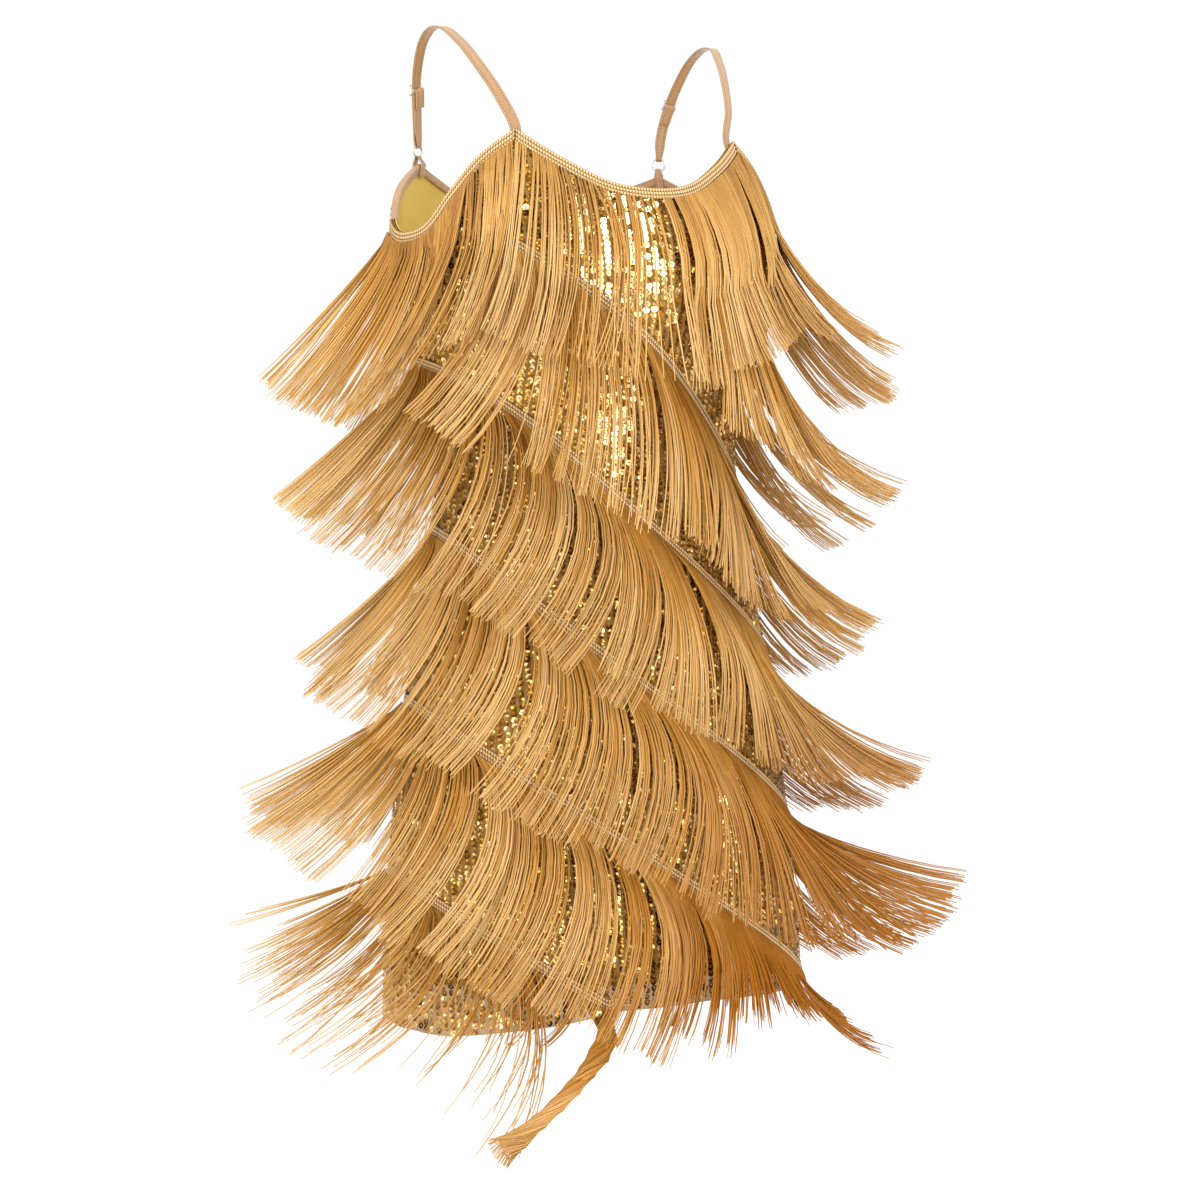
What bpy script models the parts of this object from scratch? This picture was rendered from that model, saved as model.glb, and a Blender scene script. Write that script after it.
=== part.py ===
"""A latin dance dress: a fitted mini dress in sequin cloth with straps and a spiral of long fringe.

All sizes are in millimetres until add_object turns them into metres. +Z is up, the front
faces -Y, and left and right are as the viewer sees the front: left is -X. The origin is the
middle of the line through the tops of the two straps, where the shoulders carry the dress.
"""

import math
import random

import bpy
import numpy as np

MM = 0.001

# Driving sizes of the dress
HEM_Z = -722.0
LINING_HEM_Z = -686.0
LEVEL_Z = -168.0
SIDE_Y = -9.0
SHELL_WALL = 1.2
LINING_WALL = 1.0
SEAM_GAP = 0.3
SEAM_TURN = 0.1
FACET_DIP = 0.45

# The filled out body. Columns: height, half width, depth before and behind the side seams
BODY = np.array([
    (-60.0, 132.0, 78.0, 104.0),
    (-85.0, 138.0, 88.0, 105.0),
    (-115.0, 145.0, 99.0, 104.0),
    (-150.0, 150.0, 112.0, 101.0),
    (-190.0, 150.0, 119.0, 99.0),
    (-230.0, 138.0, 108.0, 93.0),
    (-270.0, 122.0, 94.0, 86.0),
    (-310.0, 116.0, 87.0, 84.0),
    (-350.0, 119.0, 89.0, 87.0),
    (-400.0, 127.0, 95.0, 96.0),
    (-460.0, 138.0, 102.0, 107.0),
    (-530.0, 149.0, 109.0, 118.0),
    (-610.0, 157.0, 117.0, 125.0),
    (-670.0, 162.0, 122.0, 128.0),
    (HEM_Z, 165.0, 126.0, 130.0),
])

# The front corners and back peaks that the straps are sewn to
CORNER_TURN = 40.0
CORNER_Z = -82.5
PEAK_TURN = 132.0
PEAK_Z = -92.0

# The top edge, the same on both sides. Columns: degrees round from the centre front, height
TOP_EDGE = np.array([
    (0.0, -125.0),
    (12.0, -121.0),
    (24.0, -106.0),
    (CORNER_TURN, CORNER_Z),
    (53.0, -103.0),
    (62.0, -124.0),
    (72.0, -147.0),
    (82.0, -152.0),
    (97.0, -143.0),
    (115.0, -114.0),
    (PEAK_TURN, PEAK_Z),
    (150.0, -106.0),
    (165.0, -124.0),
    (180.0, -132.0),
])

# The cloth grid: turns of the columns and heights of the level rows
FRONT_TURNS = (0, 10, 20, 30, CORNER_TURN, 50, 60, 70, 80, 90)
BACK_TURNS = (90, 100, 110, 121, PEAK_TURN, 144, 156, 168, 180)
LEVEL_ROWS = (LEVEL_Z, -190, -212, -236, -262, -290, -320, -350, -400, -460, -530, -610, LINING_HEM_Z, HEM_Z)
UPPER_ROWS = (-60, -85, -115, -142)
TOP_ROWS = 3

# Fringe braids: their upper edge falls by SPIRAL_FALL for each degree round the body,
# and tilts down to the right by SPIRAL_TILT each way
BRAID_HEIGHT = 8.0
BRAID_THICK = 1.5
BRAID_GAP = 0.7
SPIRAL_FALL = 0.344
SPIRAL_TILT = 86.0
HEM_CLEARANCE = 11.0

# Where the hem rides up. Columns: degree round the body, rise
HEM_RISE = np.array((
    (-180.0, 0.0), (-63.0, 0.0), (-31.0, 10.0), (-15.0, 18.0), (10.0, 18.0), (60.0, 7.0), (95.0, 3.0), (180.0, 0.0),
))

# Columns: node, height at the centre front, first and last degree round the body
SPIRAL_BRAIDS = (
    ("fringe_tier_0", -134.0, 12.0, 249.0),
    ("fringe_tier_1", -232.0, -49.0, 269.5),
    ("fringe_tier_2", -356.0, -90.0, 269.5),
    ("fringe_tier_3", -480.0, -90.0, 269.5),
    ("fringe_tier_4", -604.0, -90.0, 74.0),
    ("fringe_tier_5", -728.0, -118.0, -13.0),
)
BACK_CORNER_GAP = 0.25

# Fringe locks along each braid
STRAND = 150.0
STRAND_SPREAD = (0.93, 1.05)
LOCK_PITCH = 21.5
LOCK_SHARE = 0.6

# Columns: share of the strand's length, width, thickness
LOCK_SECTIONS = (
    (0.10, 11.0, 2.6),
    (0.32, 10.0, 3.6),
    (0.62, 9.0, 3.4),
    (1.00, 4.5, 2.0),
)

# The strands fly widest at the two sides as seen from this degree
VIEW_TURN = -27.5

# Columns: degree from the side that is seen, shares of a strand's length outwards and along the braid, and its bulge
FLOW = np.array((
    (-180.0, 0.34, -0.08, 0.10),
    (-135.0, 0.50, -0.10, 0.06),
    (-90.0, 0.66, -0.16, 0.02),
    (-60.0, 0.52, -0.16, 0.06),
    (-35.0, 0.40, -0.13, 0.11),
    (-10.0, 0.33, -0.08, 0.14),
    (15.0, 0.31, -0.04, 0.17),
    (45.0, 0.34, -0.02, 0.20),
    (60.0, 0.42, -0.04, 0.16),
    (75.0, 0.54, -0.10, 0.06),
    (90.0, 0.64, -0.08, 0.02),
    (130.0, 0.52, -0.08, 0.05),
    (180.0, 0.34, -0.08, 0.10),
))

# How the height of its root changes a strand. Columns: height, extra outwards at the sides, share of the bulge
BY_HEIGHT = np.array((
    (-711.0, 0.0, 1.0),
    (-670.0, 0.10, 1.0),
    (-600.0, 0.22, 1.0),
    (-480.0, 0.12, 1.0),
    (-380.0, 0.0, 1.0),
    (-270.0, 0.05, 0.9),
    (-190.0, 0.04, 0.3),
    (-60.0, 0.04, 0.3),
))

# Worn stretches. Columns: node, first and last degree, share of the length, extra reach along the braid
WORN = (
    ("fringe_tier_4", -8.0, 6.0, 0.80, 0.0),
    ("fringe_tier_4", 6.0, 20.0, 0.60, 0.0),
    ("fringe_tier_4", 20.0, 36.0, 0.45, 0.05),
    ("fringe_tier_4", 36.0, 66.0, 0.36, 0.10),
    ("fringe_tier_4", 66.0, 75.0, 0.74, 0.35),
    ("fringe_tier_5", -119.0, -88.0, 0.90, -0.12),
    ("fringe_tier_5", -88.0, -62.0, 0.80, -0.20),
    ("fringe_tier_5", -62.0, -34.0, 0.60, -0.10),
)
SWEEP_SPREAD = 0.03
CHORD = 0.97
ROOT_CLEARANCE = 4.6
TIP_CLEARANCE = 17.5

# The rope that the last strands of the lowest braid are twisted into, with the same columns
ROPE_SECTIONS = (
    (0.10, 12.0, 4.0),
    (0.32, 13.0, 9.0),
    (0.62, 15.0, 11.0),
    (1.00, 17.0, 5.0),
)
ROPED_BRAID = "fringe_tier_5"
ROPE_STATIONS = 3
ROPE_OUTWARD = 0.30
ROPE_ALONG = -0.65

# Elastic bindings on the back edges
BINDING_START = 100.0
BIND_DROP = 7.0
BIND_WALL = 1.0

# The right strap's middle line over the shoulder; the left one is its mirror.
# Columns: x, y, z, degrees from +X to the band's width
STRAP_PATH = (
    (93.0, -63.0, -60.0, 27.0),
    (100.0, -47.5, -38.0, 23.0),
    (107.5, -26.0, -15.0, 14.0),
    (112.5, -8.0, -2.9, 6.0),
    (113.5, 8.0, -1.35, 0.0),
    (113.0, 24.0, -7.0, -6.0),
    (110.5, 41.0, -23.0, -14.0),
    (107.0, 53.0, -43.0, -22.0),
    (104.5, 58.5, -60.0, -28.0),
    (103.5, 60.5, -77.5, -32.0),
)
STRAP_WIDTH = 8.0
STRAP_THICK = 1.2
STRAP_SEWN_DEPTH = 12.0
LAYER_OFFSET = 0.75
SLIDER_FROM_RING = 41.0
TAIL_LENGTH = 13.0
BUNCHED_WIDTH = 4.4
BUNCH_SAG = 0.45

# Rings, sliders and the loops that hold the rings
RING_INSIDE = 8.6
RING_WIRE = 1.3
WIRE_GAP = 0.2
SLIDER_BAR = 0.9
SLIDER_WINDOW = 2.9
SLIDER_RAIL = 1.1
RAIL_GAP = 0.35
SLIDER_BAR_GAP = 0.4
LOOP_WIDTH = 6.0
LOOP_THICK = 1.0
LOOP_TAIL = 9.0

COLOURS = {
    "sequin": ((0.55, 0.36, 0.10, 1.0), 0.30, 0.8),
    "lining": ((0.62, 0.52, 0.20, 1.0), 0.80, 0.0),
    "fringe": ((0.66, 0.42, 0.16, 1.0), 0.60, 0.0),
    "elastic": ((0.72, 0.47, 0.28, 1.0), 0.50, 0.0),
    "metal": ((0.80, 0.80, 0.80, 1.0), 0.25, 1.0),
    "plastic": ((0.85, 0.80, 0.72, 1.0), 0.20, 0.0),
}


def smooth_table(rows, at):
    """The columns after the first, read at a value of the first by a curve through the rows."""
    rows = rows[np.argsort(rows[:, 0])]
    keys = rows[:, 0]
    slopes = np.gradient(rows[:, 1:], keys, axis=0)
    at = float(min(max(at, keys[0]), keys[-1]))
    i = int(min(max(np.searchsorted(keys, at) - 1, 0), len(keys) - 2))
    step = keys[i + 1] - keys[i]
    t = (at - keys[i]) / step
    blend = t * t * (3.0 - 2.0 * t)
    start = t * (1.0 - t) ** 2 * step
    end = -t * t * (1.0 - t) * step
    return rows[i, 1:] + (rows[i + 1, 1:] - rows[i, 1:]) * blend + slopes[i] * start + slopes[i + 1] * end


def wrapped(turn):
    """The turn between -180 and 180 degrees."""
    return (turn + 180.0) % 360.0 - 180.0


def row_sizes():
    """Heights of the cloth's rows from the hem up, with the body's half width and depths at each."""
    heights = sorted(UPPER_ROWS + LEVEL_ROWS)
    return np.array([(z, *smooth_table(BODY, z)) for z in heights])


ROW_SIZES = row_sizes()


def body_sizes(z):
    """Half width, front depth and back depth, straight between the rows as the cloth's facets are."""
    return [float(np.interp(z, ROW_SIZES[:, 0], ROW_SIZES[:, k])) for k in (1, 2, 3)]


def body_point(turn, z):
    """The outer face of the sequin cloth."""
    half_width, front, back = body_sizes(z)
    angle = math.radians(turn)
    depth = front if math.cos(angle) > 0.0 else back
    return np.array((half_width * math.sin(angle), SIDE_Y - depth * math.cos(angle), z))


def body_normal(turn, z):
    """The outward direction of the sequin cloth."""
    across = body_point(turn + 0.5, z) - body_point(turn - 0.5, z)
    up = body_point(turn, min(z + 4.0, -60.0)) - body_point(turn, max(z - 4.0, HEM_Z))
    normal = np.cross(across, up)
    return normal / np.linalg.norm(normal)


def on_body(turn, z, lift):
    return body_point(turn, z) + body_normal(turn, z) * lift


def top_z(turn):
    return float(np.interp(abs(wrapped(turn)), TOP_EDGE[:, 0], TOP_EDGE[:, 1]))


def unit(vector):
    return vector / np.linalg.norm(vector)


def add_material(kind):
    colour, roughness, metallic = COLOURS[kind]
    material = bpy.data.materials.get(kind) or bpy.data.materials.new(kind)
    material.use_nodes = True
    shader = material.node_tree.nodes["Principled BSDF"]
    shader.inputs["Base Color"].default_value = colour
    shader.inputs["Roughness"].default_value = roughness
    shader.inputs["Metallic"].default_value = metallic
    return material


def add_object(name, kind, points, faces):
    """One closed solid, from points in millimetres."""
    mesh = bpy.data.meshes.new(name)
    mesh.from_pydata([tuple(float(c) * MM for c in p) for p in points], [], turned_out(points, faces))
    mesh.materials.append(add_material(kind))
    mesh.validate()
    mesh.shade_smooth()
    mesh.set_sharp_from_angle(angle=math.radians(40.0))
    thing = bpy.data.objects.new(name, mesh)
    bpy.context.scene.collection.objects.link(thing)
    return thing


def tube(sections):
    """Points and faces of a closed solid through sections of as many corners each."""
    corners = len(sections[0])
    points = [p for section in sections for p in section]
    faces = []
    for i in range(len(sections) - 1):
        for k in range(corners):
            a = i * corners + k
            b = i * corners + (k + 1) % corners
            faces.append((a, b, b + corners, a + corners))
    last = (len(sections) - 1) * corners
    faces.append(tuple(reversed(range(corners))))
    faces.append(tuple(range(last, last + corners)))
    return points, faces


def front_columns():
    """The front panel's columns from the left side seam to the right one, less the seam gaps."""
    columns = [-t for t in reversed(FRONT_TURNS[1:])] + list(FRONT_TURNS)
    return [columns[0] + SEAM_TURN] + columns[1:-1] + [columns[-1] - SEAM_TURN]


def back_columns():
    """The back panel's columns from the right side seam to the left one, less the seam gaps."""
    columns = list(BACK_TURNS) + [360 - t for t in reversed(BACK_TURNS[:-1])]
    return [columns[0] + SEAM_TURN] + columns[1:-1] + [columns[-1] - SEAM_TURN]


def hem_z(turn):
    """The sequin cloth's lower edge."""
    return HEM_Z + float(np.interp(wrapped(turn), HEM_RISE[:, 0], HEM_RISE[:, 1]))


def lining_hem(turn):
    """The lining's lower edge."""
    return LINING_HEM_Z


def add_panel(name, kind, columns, hem_at, lift, wall):
    """A cloth panel: level rows below the underarm, blended rows up to the shaped top edge."""
    lowest = min(hem_at(turn) for turn in columns)
    levels = [z for z in LEVEL_ROWS if z > lowest + 1.0]
    outer, inner = [], []
    for turn in columns:
        top = top_z(turn)
        heights = [top + (LEVEL_Z - top) * k / TOP_ROWS for k in range(TOP_ROWS)] + levels + [hem_at(turn)]
        outer.append([on_body(turn, z, lift) for z in heights])
        inner.append([on_body(turn, z, lift - wall) for z in heights])
    rows = len(outer[0])
    points = [p for column in outer for p in column] + [p for column in inner for p in column]
    count = len(columns) * rows
    faces = []
    for i in range(len(columns) - 1):
        for j in range(rows - 1):
            a = i * rows + j
            b = a + rows
            faces.append((a, a + 1, b + 1, b))
            faces.append((count + a, count + b, count + b + 1, count + a + 1))
        top_a = i * rows
        top_b = top_a + rows
        faces.append((top_a, top_b, count + top_b, count + top_a))
        low_a = top_a + rows - 1
        low_b = low_a + rows
        faces.append((low_a, count + low_a, count + low_b, low_b))
    last = (len(columns) - 1) * rows
    for j in range(rows - 1):
        faces.append((j, count + j, count + j + 1, j + 1))
        a = last + j
        faces.append((a, a + 1, count + a + 1, count + a))
    add_object(name, kind, points, faces)


def braid_lift(turn, high, low):
    """How far a flat braid stands off the cloth, so that it clears the bulge between its edges."""
    top, bottom = body_point(turn, high), body_point(turn, low)
    normal = body_normal(turn, (high + low) / 2.0)
    bulge = 0.0
    for share in (0.25, 0.5, 0.75):
        z = high + (low - high) * share
        bulge = max(bulge, float(np.dot(body_point(turn, z) - (top + (bottom - top) * share), normal)))
    return BRAID_GAP + bulge


def even_turns(first, last, height_at, step):
    """Turns along a line on the body, about a step apart."""
    samples = np.linspace(first, last, 400)
    line = np.array([body_point(t, height_at(t)) for t in samples])
    travelled = np.concatenate([[0.0], np.cumsum(np.linalg.norm(np.diff(line, axis=0), axis=1))])
    count = max(1, round(travelled[-1] / step))
    return np.interp(np.linspace(0.0, travelled[-1], count + 1), travelled, samples)


def lock_reach(turn, z):
    """How a strand leaves a root there: shares of its length outwards, along the braid and in its bulge."""
    seen = wrapped(turn - VIEW_TURN)
    outward, along, bulge = (float(np.interp(seen, FLOW[:, 0], FLOW[:, k])) for k in (1, 2, 3))
    sideways, rounder = (float(np.interp(z, BY_HEIGHT[:, 0], BY_HEIGHT[:, k])) for k in (1, 2))
    return outward + sideways * math.sin(math.radians(seen)) ** 4, along, bulge * rounder


def worn(name, turn):
    """The share of the length that a braid's strands have there, and their extra reach along it."""
    for node, first, last, share, along in WORN:
        if node == name and first < turn < last:
            return share, along
    return 1.0, 0.0


def lock_path(root, turn, length, reach, steps):
    """Points of a strand's centre at the given shares of its length."""
    angle = math.radians(turn)
    normal = np.array((math.sin(angle), -math.cos(angle), 0.0))
    tangent = np.array((math.cos(angle), math.sin(angle), 0.0))
    outward, along, bulge = reach
    beside = math.sin(math.radians(turn - VIEW_TURN)) ** 2
    drop = math.sqrt(max(CHORD ** 2 - outward ** 2 - along ** 2, 0.1))
    points = []
    for t in steps:
        out = outward * t ** (1.4 - 0.3 * beside)
        side = along * t ** 1.6 + bulge * math.sin(math.pi * t ** 0.85)
        down = drop * (1.0 - (1.0 - t) ** (1.10 - 0.05 * beside))
        point = root + length * (normal * out + tangent * side + np.array((0.0, 0.0, -down)))
        points.append(clear_of_body(point, ROOT_CLEARANCE + (TIP_CLEARANCE - ROOT_CLEARANCE) * t))
    return points


def clear_of_body(point, gap):
    """The point, moved out where it comes nearer to the body than the gap."""
    if point[2] < HEM_Z:
        return point
    half_width, front, back = body_sizes(point[2])
    y = point[1] - SIDE_Y
    depth = back if y > 0.0 else front
    size = math.hypot(point[0] / half_width, y / depth)
    radius = math.hypot(point[0], y)
    needed = radius / size + gap
    if radius >= needed:
        return point
    return np.array((point[0] * needed / radius, SIDE_Y + y * needed / radius, point[2]))


def lock_sections(path, across, sizes):
    """The four corners of each section along a lock, in the order of its root."""
    sections = []
    for i, point in enumerate(path[1:], start=1):
        ahead = path[min(i + 1, len(path) - 1)]
        direction = unit(ahead - path[i - 1])
        width_way = unit(across - direction * np.dot(across, direction))
        out_way = np.cross(direction, width_way)
        _, width, thickness = sizes[i - 1]
        w = width_way * width / 2.0
        m = out_way * thickness / 2.0
        sections.append([point - w + m, point + w + m, point + w - m, point - w - m])
    return sections


def add_fringe(name, first, last, height_at, seed, roped=False):
    """A braid on the cloth with one lock on every second stretch of its lower edge."""
    chance = random.Random(seed)
    pairs = even_turns(first, last, height_at, LOCK_PITCH)
    stations = []
    for a, b in zip(pairs[:-1], pairs[1:]):
        gap = (1.0 - LOCK_SHARE) / 2.0
        stations += [a + (b - a) * gap, b - (b - a) * gap]
    stations = [first] + stations + [last]
    sections = []
    for turn in stations:
        slope = (height_at(turn + 0.5) - height_at(turn - 0.5)) / np.linalg.norm(
            (body_point(turn + 0.5, height_at(turn)) - body_point(turn - 0.5, height_at(turn)))[:2]
        )
        high = height_at(turn)
        low = high - BRAID_HEIGHT * math.hypot(1.0, slope)
        lift = braid_lift(turn, high, low)
        normal = body_normal(turn, (high + low) / 2.0)
        inner_top = body_point(turn, high) + normal * lift
        inner_low = body_point(turn, low) + normal * lift
        outer = normal * BRAID_THICK
        sections.append([inner_top, inner_top + outer, inner_low + outer, inner_low])
    points = [p for section in sections for p in section]
    faces = [(0, 3, 2, 1)]
    end = 4 * (len(sections) - 1)
    faces.append((end, end + 1, end + 2, end + 3))
    for i in range(len(sections) - 1):
        a, b = 4 * i, 4 * (i + 1)
        faces += [(a, a + 1, b + 1, b), (a + 1, a + 2, b + 2, b + 1), (a + 3, a, b, b + 3)]
        is_rope = roped and i == len(sections) - 3
        in_rope = roped and not is_rope and i > len(sections) - 3 - 2 * ROPE_STATIONS
        if i % 2 == 0 or in_rope:
            faces.append((a + 2, a + 3, b + 3, b + 2))
            continue
        turn = (stations[i] + stations[i + 1]) / 2.0
        across = unit(sections[i + 1][2] - sections[i][2])
        root = (sections[i][2] + sections[i][3] + sections[i + 1][2] + sections[i + 1][3]) / 4.0
        outward, along, bulge = lock_reach(turn, root[2])
        share, pulled = worn(name, turn)
        reach = (outward, along + pulled + chance.uniform(-SWEEP_SPREAD, SWEEP_SPREAD), bulge)
        strand = STRAND * share * chance.uniform(*STRAND_SPREAD)
        sizes = LOCK_SECTIONS
        if is_rope:
            reach, sizes = (ROPE_OUTWARD, ROPE_ALONG, 0.0), ROPE_SECTIONS
        path = lock_path(root, turn, strand, reach, [0.0] + [row[0] for row in sizes])
        ring = [a + 2, b + 2, b + 3, a + 3]
        for section in lock_sections(path, across, sizes):
            start = len(points)
            points += section
            following = [start, start + 1, start + 2, start + 3]
            for k in range(4):
                m = (k + 1) % 4
                faces.append((ring[m], ring[k], following[k], following[m]))
            ring = following
        faces.append(tuple(reversed(ring)))
    add_object(name, "fringe", points, faces)


def spiral_height(base):
    """The upper edge of a braid that winds down round the body, kept just above the hem."""
    def height(turn):
        z = base - SPIRAL_FALL * turn - SPIRAL_TILT * math.sin(math.radians(turn))
        return max(z, hem_z(turn) + HEM_CLEARANCE)
    return height


def add_binding(name, first, last):
    """Fold-over elastic round the cloth's top edge, as a U section at the panel's own columns."""
    inside = -(SHELL_WALL + SEAM_GAP + LINING_WALL)
    turns = [first] + [t for t in back_columns() if first + 1.0 < t < last - 1.0] + [last]
    sections = []
    for turn in turns:
        edge = top_z(turn)
        low = edge - BIND_DROP
        high = edge + SEAM_GAP
        a, b = SEAM_GAP + BIND_WALL, SEAM_GAP
        c, d = inside - FACET_DIP, inside - FACET_DIP - BIND_WALL
        top_normal = body_normal(turn, edge)
        top = body_point(turn, high)
        over = np.array((0.0, 0.0, BIND_WALL))
        sections.append([
            on_body(turn, low, a),
            top + top_normal * a + over,
            top + top_normal * d + over,
            on_body(turn, low, d),
            on_body(turn, low, c),
            top + top_normal * c,
            top + top_normal * b,
            on_body(turn, low, b),
        ])
    points, faces = binding_faces(sections)
    add_object(name, "elastic", points, faces)


def binding_faces(sections):
    points, faces = tube(sections)
    last = len(points) - 8
    ends = ((0, 1, 6, 7), (1, 2, 5, 6), (2, 3, 4, 5))
    faces = faces[:-2]
    faces += [tuple(reversed(end)) for end in ends]
    faces += [tuple(last + k for k in end) for end in ends]
    return points, faces


def strap_knots():
    """Knots of the right strap's middle line: two inside the front corner, then the arch."""
    lift = -(SHELL_WALL + LINING_WALL + 2.0 * SEAM_GAP + FACET_DIP + STRAP_THICK / 2.0 + LAYER_OFFSET)
    knots = []
    for z in (CORNER_Z - STRAP_SEWN_DEPTH, CORNER_Z + 2.0):
        across = body_point(CORNER_TURN + 1.0, z) - body_point(CORNER_TURN - 1.0, z)
        turn = math.degrees(math.atan2(across[1], across[0]))
        knots.append((*on_body(CORNER_TURN, z, lift), turn))
    return np.array(knots + list(STRAP_PATH))


def strap_line():
    """The length of the right strap's middle line, and a function that reads its place and turn."""
    knots = strap_knots()
    chords = np.linalg.norm(np.diff(knots[:, :3], axis=0), axis=1)
    along = np.concatenate([[0.0], np.cumsum(chords)])
    rows = np.column_stack([along, knots])
    return along[-1], lambda s: smooth_table(rows, s)


def strap_frame(at, s, length):
    """The strap's middle point, face direction, width direction and way ahead at a distance along it."""
    near = min(s, length)
    ahead = unit(at(near)[:3] - at(near - 2.0)[:3]) if near > 2.0 else unit(at(2.0)[:3] - at(0.0)[:3])
    middle = at(near)[:3] + ahead * (s - near)
    turn = math.radians(at(near)[3])
    width = np.array((math.cos(turn), math.sin(turn), 0.0))
    width = unit(width - ahead * np.dot(width, ahead))
    return middle, np.cross(width, ahead), width, ahead


def half_circle(centre, radius, first, last, steps=6):
    """Places round a bar in the plane of distance along the strap and offset from its middle."""
    places = []
    for k in range(steps + 1):
        angle = math.radians(first + (last - first) * k / steps)
        places.append((centre[0] + radius * math.cos(angle), centre[1] + radius * math.sin(angle)))
    return places


def band_sections(line, thick, mirror):
    """Sections of a flat band through points that each come with their width direction and width."""
    sections = []
    for i, (point, across, width) in enumerate(line):
        ahead = unit(line[min(i + 1, len(line) - 1)][0] - line[max(i - 1, 0)][0])
        across = unit(across - ahead * np.dot(across, ahead))
        out = np.cross(across, ahead) * thick / 2.0
        side = across * width / 2.0
        corners = [point - side + out, point + side + out, point + side - out, point - side - out]
        sections.append([c * mirror for c in corners])
    return sections


def add_strap(side, mirror):
    """The elastic: from inside the front corner, over the shoulder, through the ring, to the slider."""
    length, at = strap_line()
    slider_s = length - SLIDER_FROM_RING
    ring_turn = RING_WIRE / 2.0 + WIRE_GAP + STRAP_THICK / 2.0
    bar_turn = SLIDER_BAR / 2.0 + SLIDER_BAR_GAP + STRAP_THICK / 2.0
    places = [(s, LAYER_OFFSET, STRAP_WIDTH) for s in np.linspace(0.0, slider_s - 8.0, 19)]
    for s in (slider_s, slider_s + 12.0, length - 14.0):
        places.append((s, LAYER_OFFSET, STRAP_WIDTH))
    places.append((length - 4.5, ring_turn - 0.1, 6.4))
    places += [(*p, BUNCHED_WIDTH) for p in half_circle((length + BUNCH_SAG, 0.0), ring_turn, 90.0, -90.0)]
    places.append((length - 4.5, 0.1 - ring_turn, 6.4))
    for s in (length - 14.0, slider_s + 12.0):
        places.append((s, -LAYER_OFFSET, STRAP_WIDTH))
    bar = (slider_s, -LAYER_OFFSET - bar_turn)
    places += [(*p, STRAP_WIDTH) for p in half_circle(bar, bar_turn, 90.0, 270.0)]
    places.append((slider_s + TAIL_LENGTH, bar[1] - bar_turn, STRAP_WIDTH))
    line = []
    for s, offset, width in places:
        middle, face, across, _ = strap_frame(at, s, length)
        line.append((middle + face * offset, across, width))
    points, faces = tube(band_sections(line, STRAP_THICK, mirror))
    add_object(f"strap_{side}", "elastic", points, faces)


def ring_frame():
    """The ring's centre, face, width direction and way down, and its middle radius."""
    length, at = strap_line()
    middle, face, across, ahead = strap_frame(at, length, length)
    radius = (RING_INSIDE + RING_WIRE) / 2.0
    return middle + ahead * radius, face, across, ahead, radius


def add_ring(side, mirror):
    """A round wire ring between the strap and the loop, standing in the strap's face."""
    centre, face, across, ahead, radius = ring_frame()
    sections = []
    for k in range(20):
        turn = 2.0 * math.pi * k / 20
        spoke = ahead * math.cos(turn) + across * math.sin(turn)
        section = []
        for m in range(6):
            angle = 2.0 * math.pi * m / 6
            reach = radius + RING_WIRE / 2.0 * math.cos(angle)
            section.append((centre + spoke * reach + face * RING_WIRE / 2.0 * math.sin(angle)) * mirror)
        sections.append(section)
    points, faces = closed_loop(sections)
    add_object(f"ring_{side}", "metal", points, faces)


def add_ring_loop(side, mirror):
    """A short elastic over the ring's lower side, its ends on both faces of the back peak."""
    centre, face, across, ahead, radius = ring_frame()
    turn_radius = RING_WIRE / 2.0 + WIRE_GAP + LOOP_THICK / 2.0
    inner_lift = -(SHELL_WALL + LINING_WALL + 2.0 * (SEAM_GAP + FACET_DIP) + BIND_WALL + LOOP_THICK / 2.0)
    outer_lift = 2.0 * SEAM_GAP + BIND_WALL + LOOP_THICK / 2.0
    panel_way = unit(body_point(PEAK_TURN + 1.0, PEAK_Z) - body_point(PEAK_TURN - 1.0, PEAK_Z))
    panel_way = panel_way if np.dot(panel_way, across) > 0.0 else -panel_way
    bottom = centre + ahead * (radius - BUNCH_SAG)
    line = []
    for drop in (LOOP_TAIL, 4.0, -1.0):
        line.append((on_body(PEAK_TURN, PEAK_Z - drop, inner_lift), panel_way, LOOP_WIDTH))
    for k in range(7):
        angle = math.radians(-90.0 + 180.0 * k / 6)
        around = face * math.sin(angle) - ahead * math.cos(angle)
        line.append((bottom + around * turn_radius, across, BUNCHED_WIDTH))
    for drop in (-1.0, 4.0, LOOP_TAIL):
        line.append((on_body(PEAK_TURN, PEAK_Z - drop, outer_lift), panel_way, LOOP_WIDTH))
    points, faces = tube(band_sections(line, LOOP_THICK, mirror))
    add_object(f"ring_loop_{side}", "elastic", points, faces)


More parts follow.
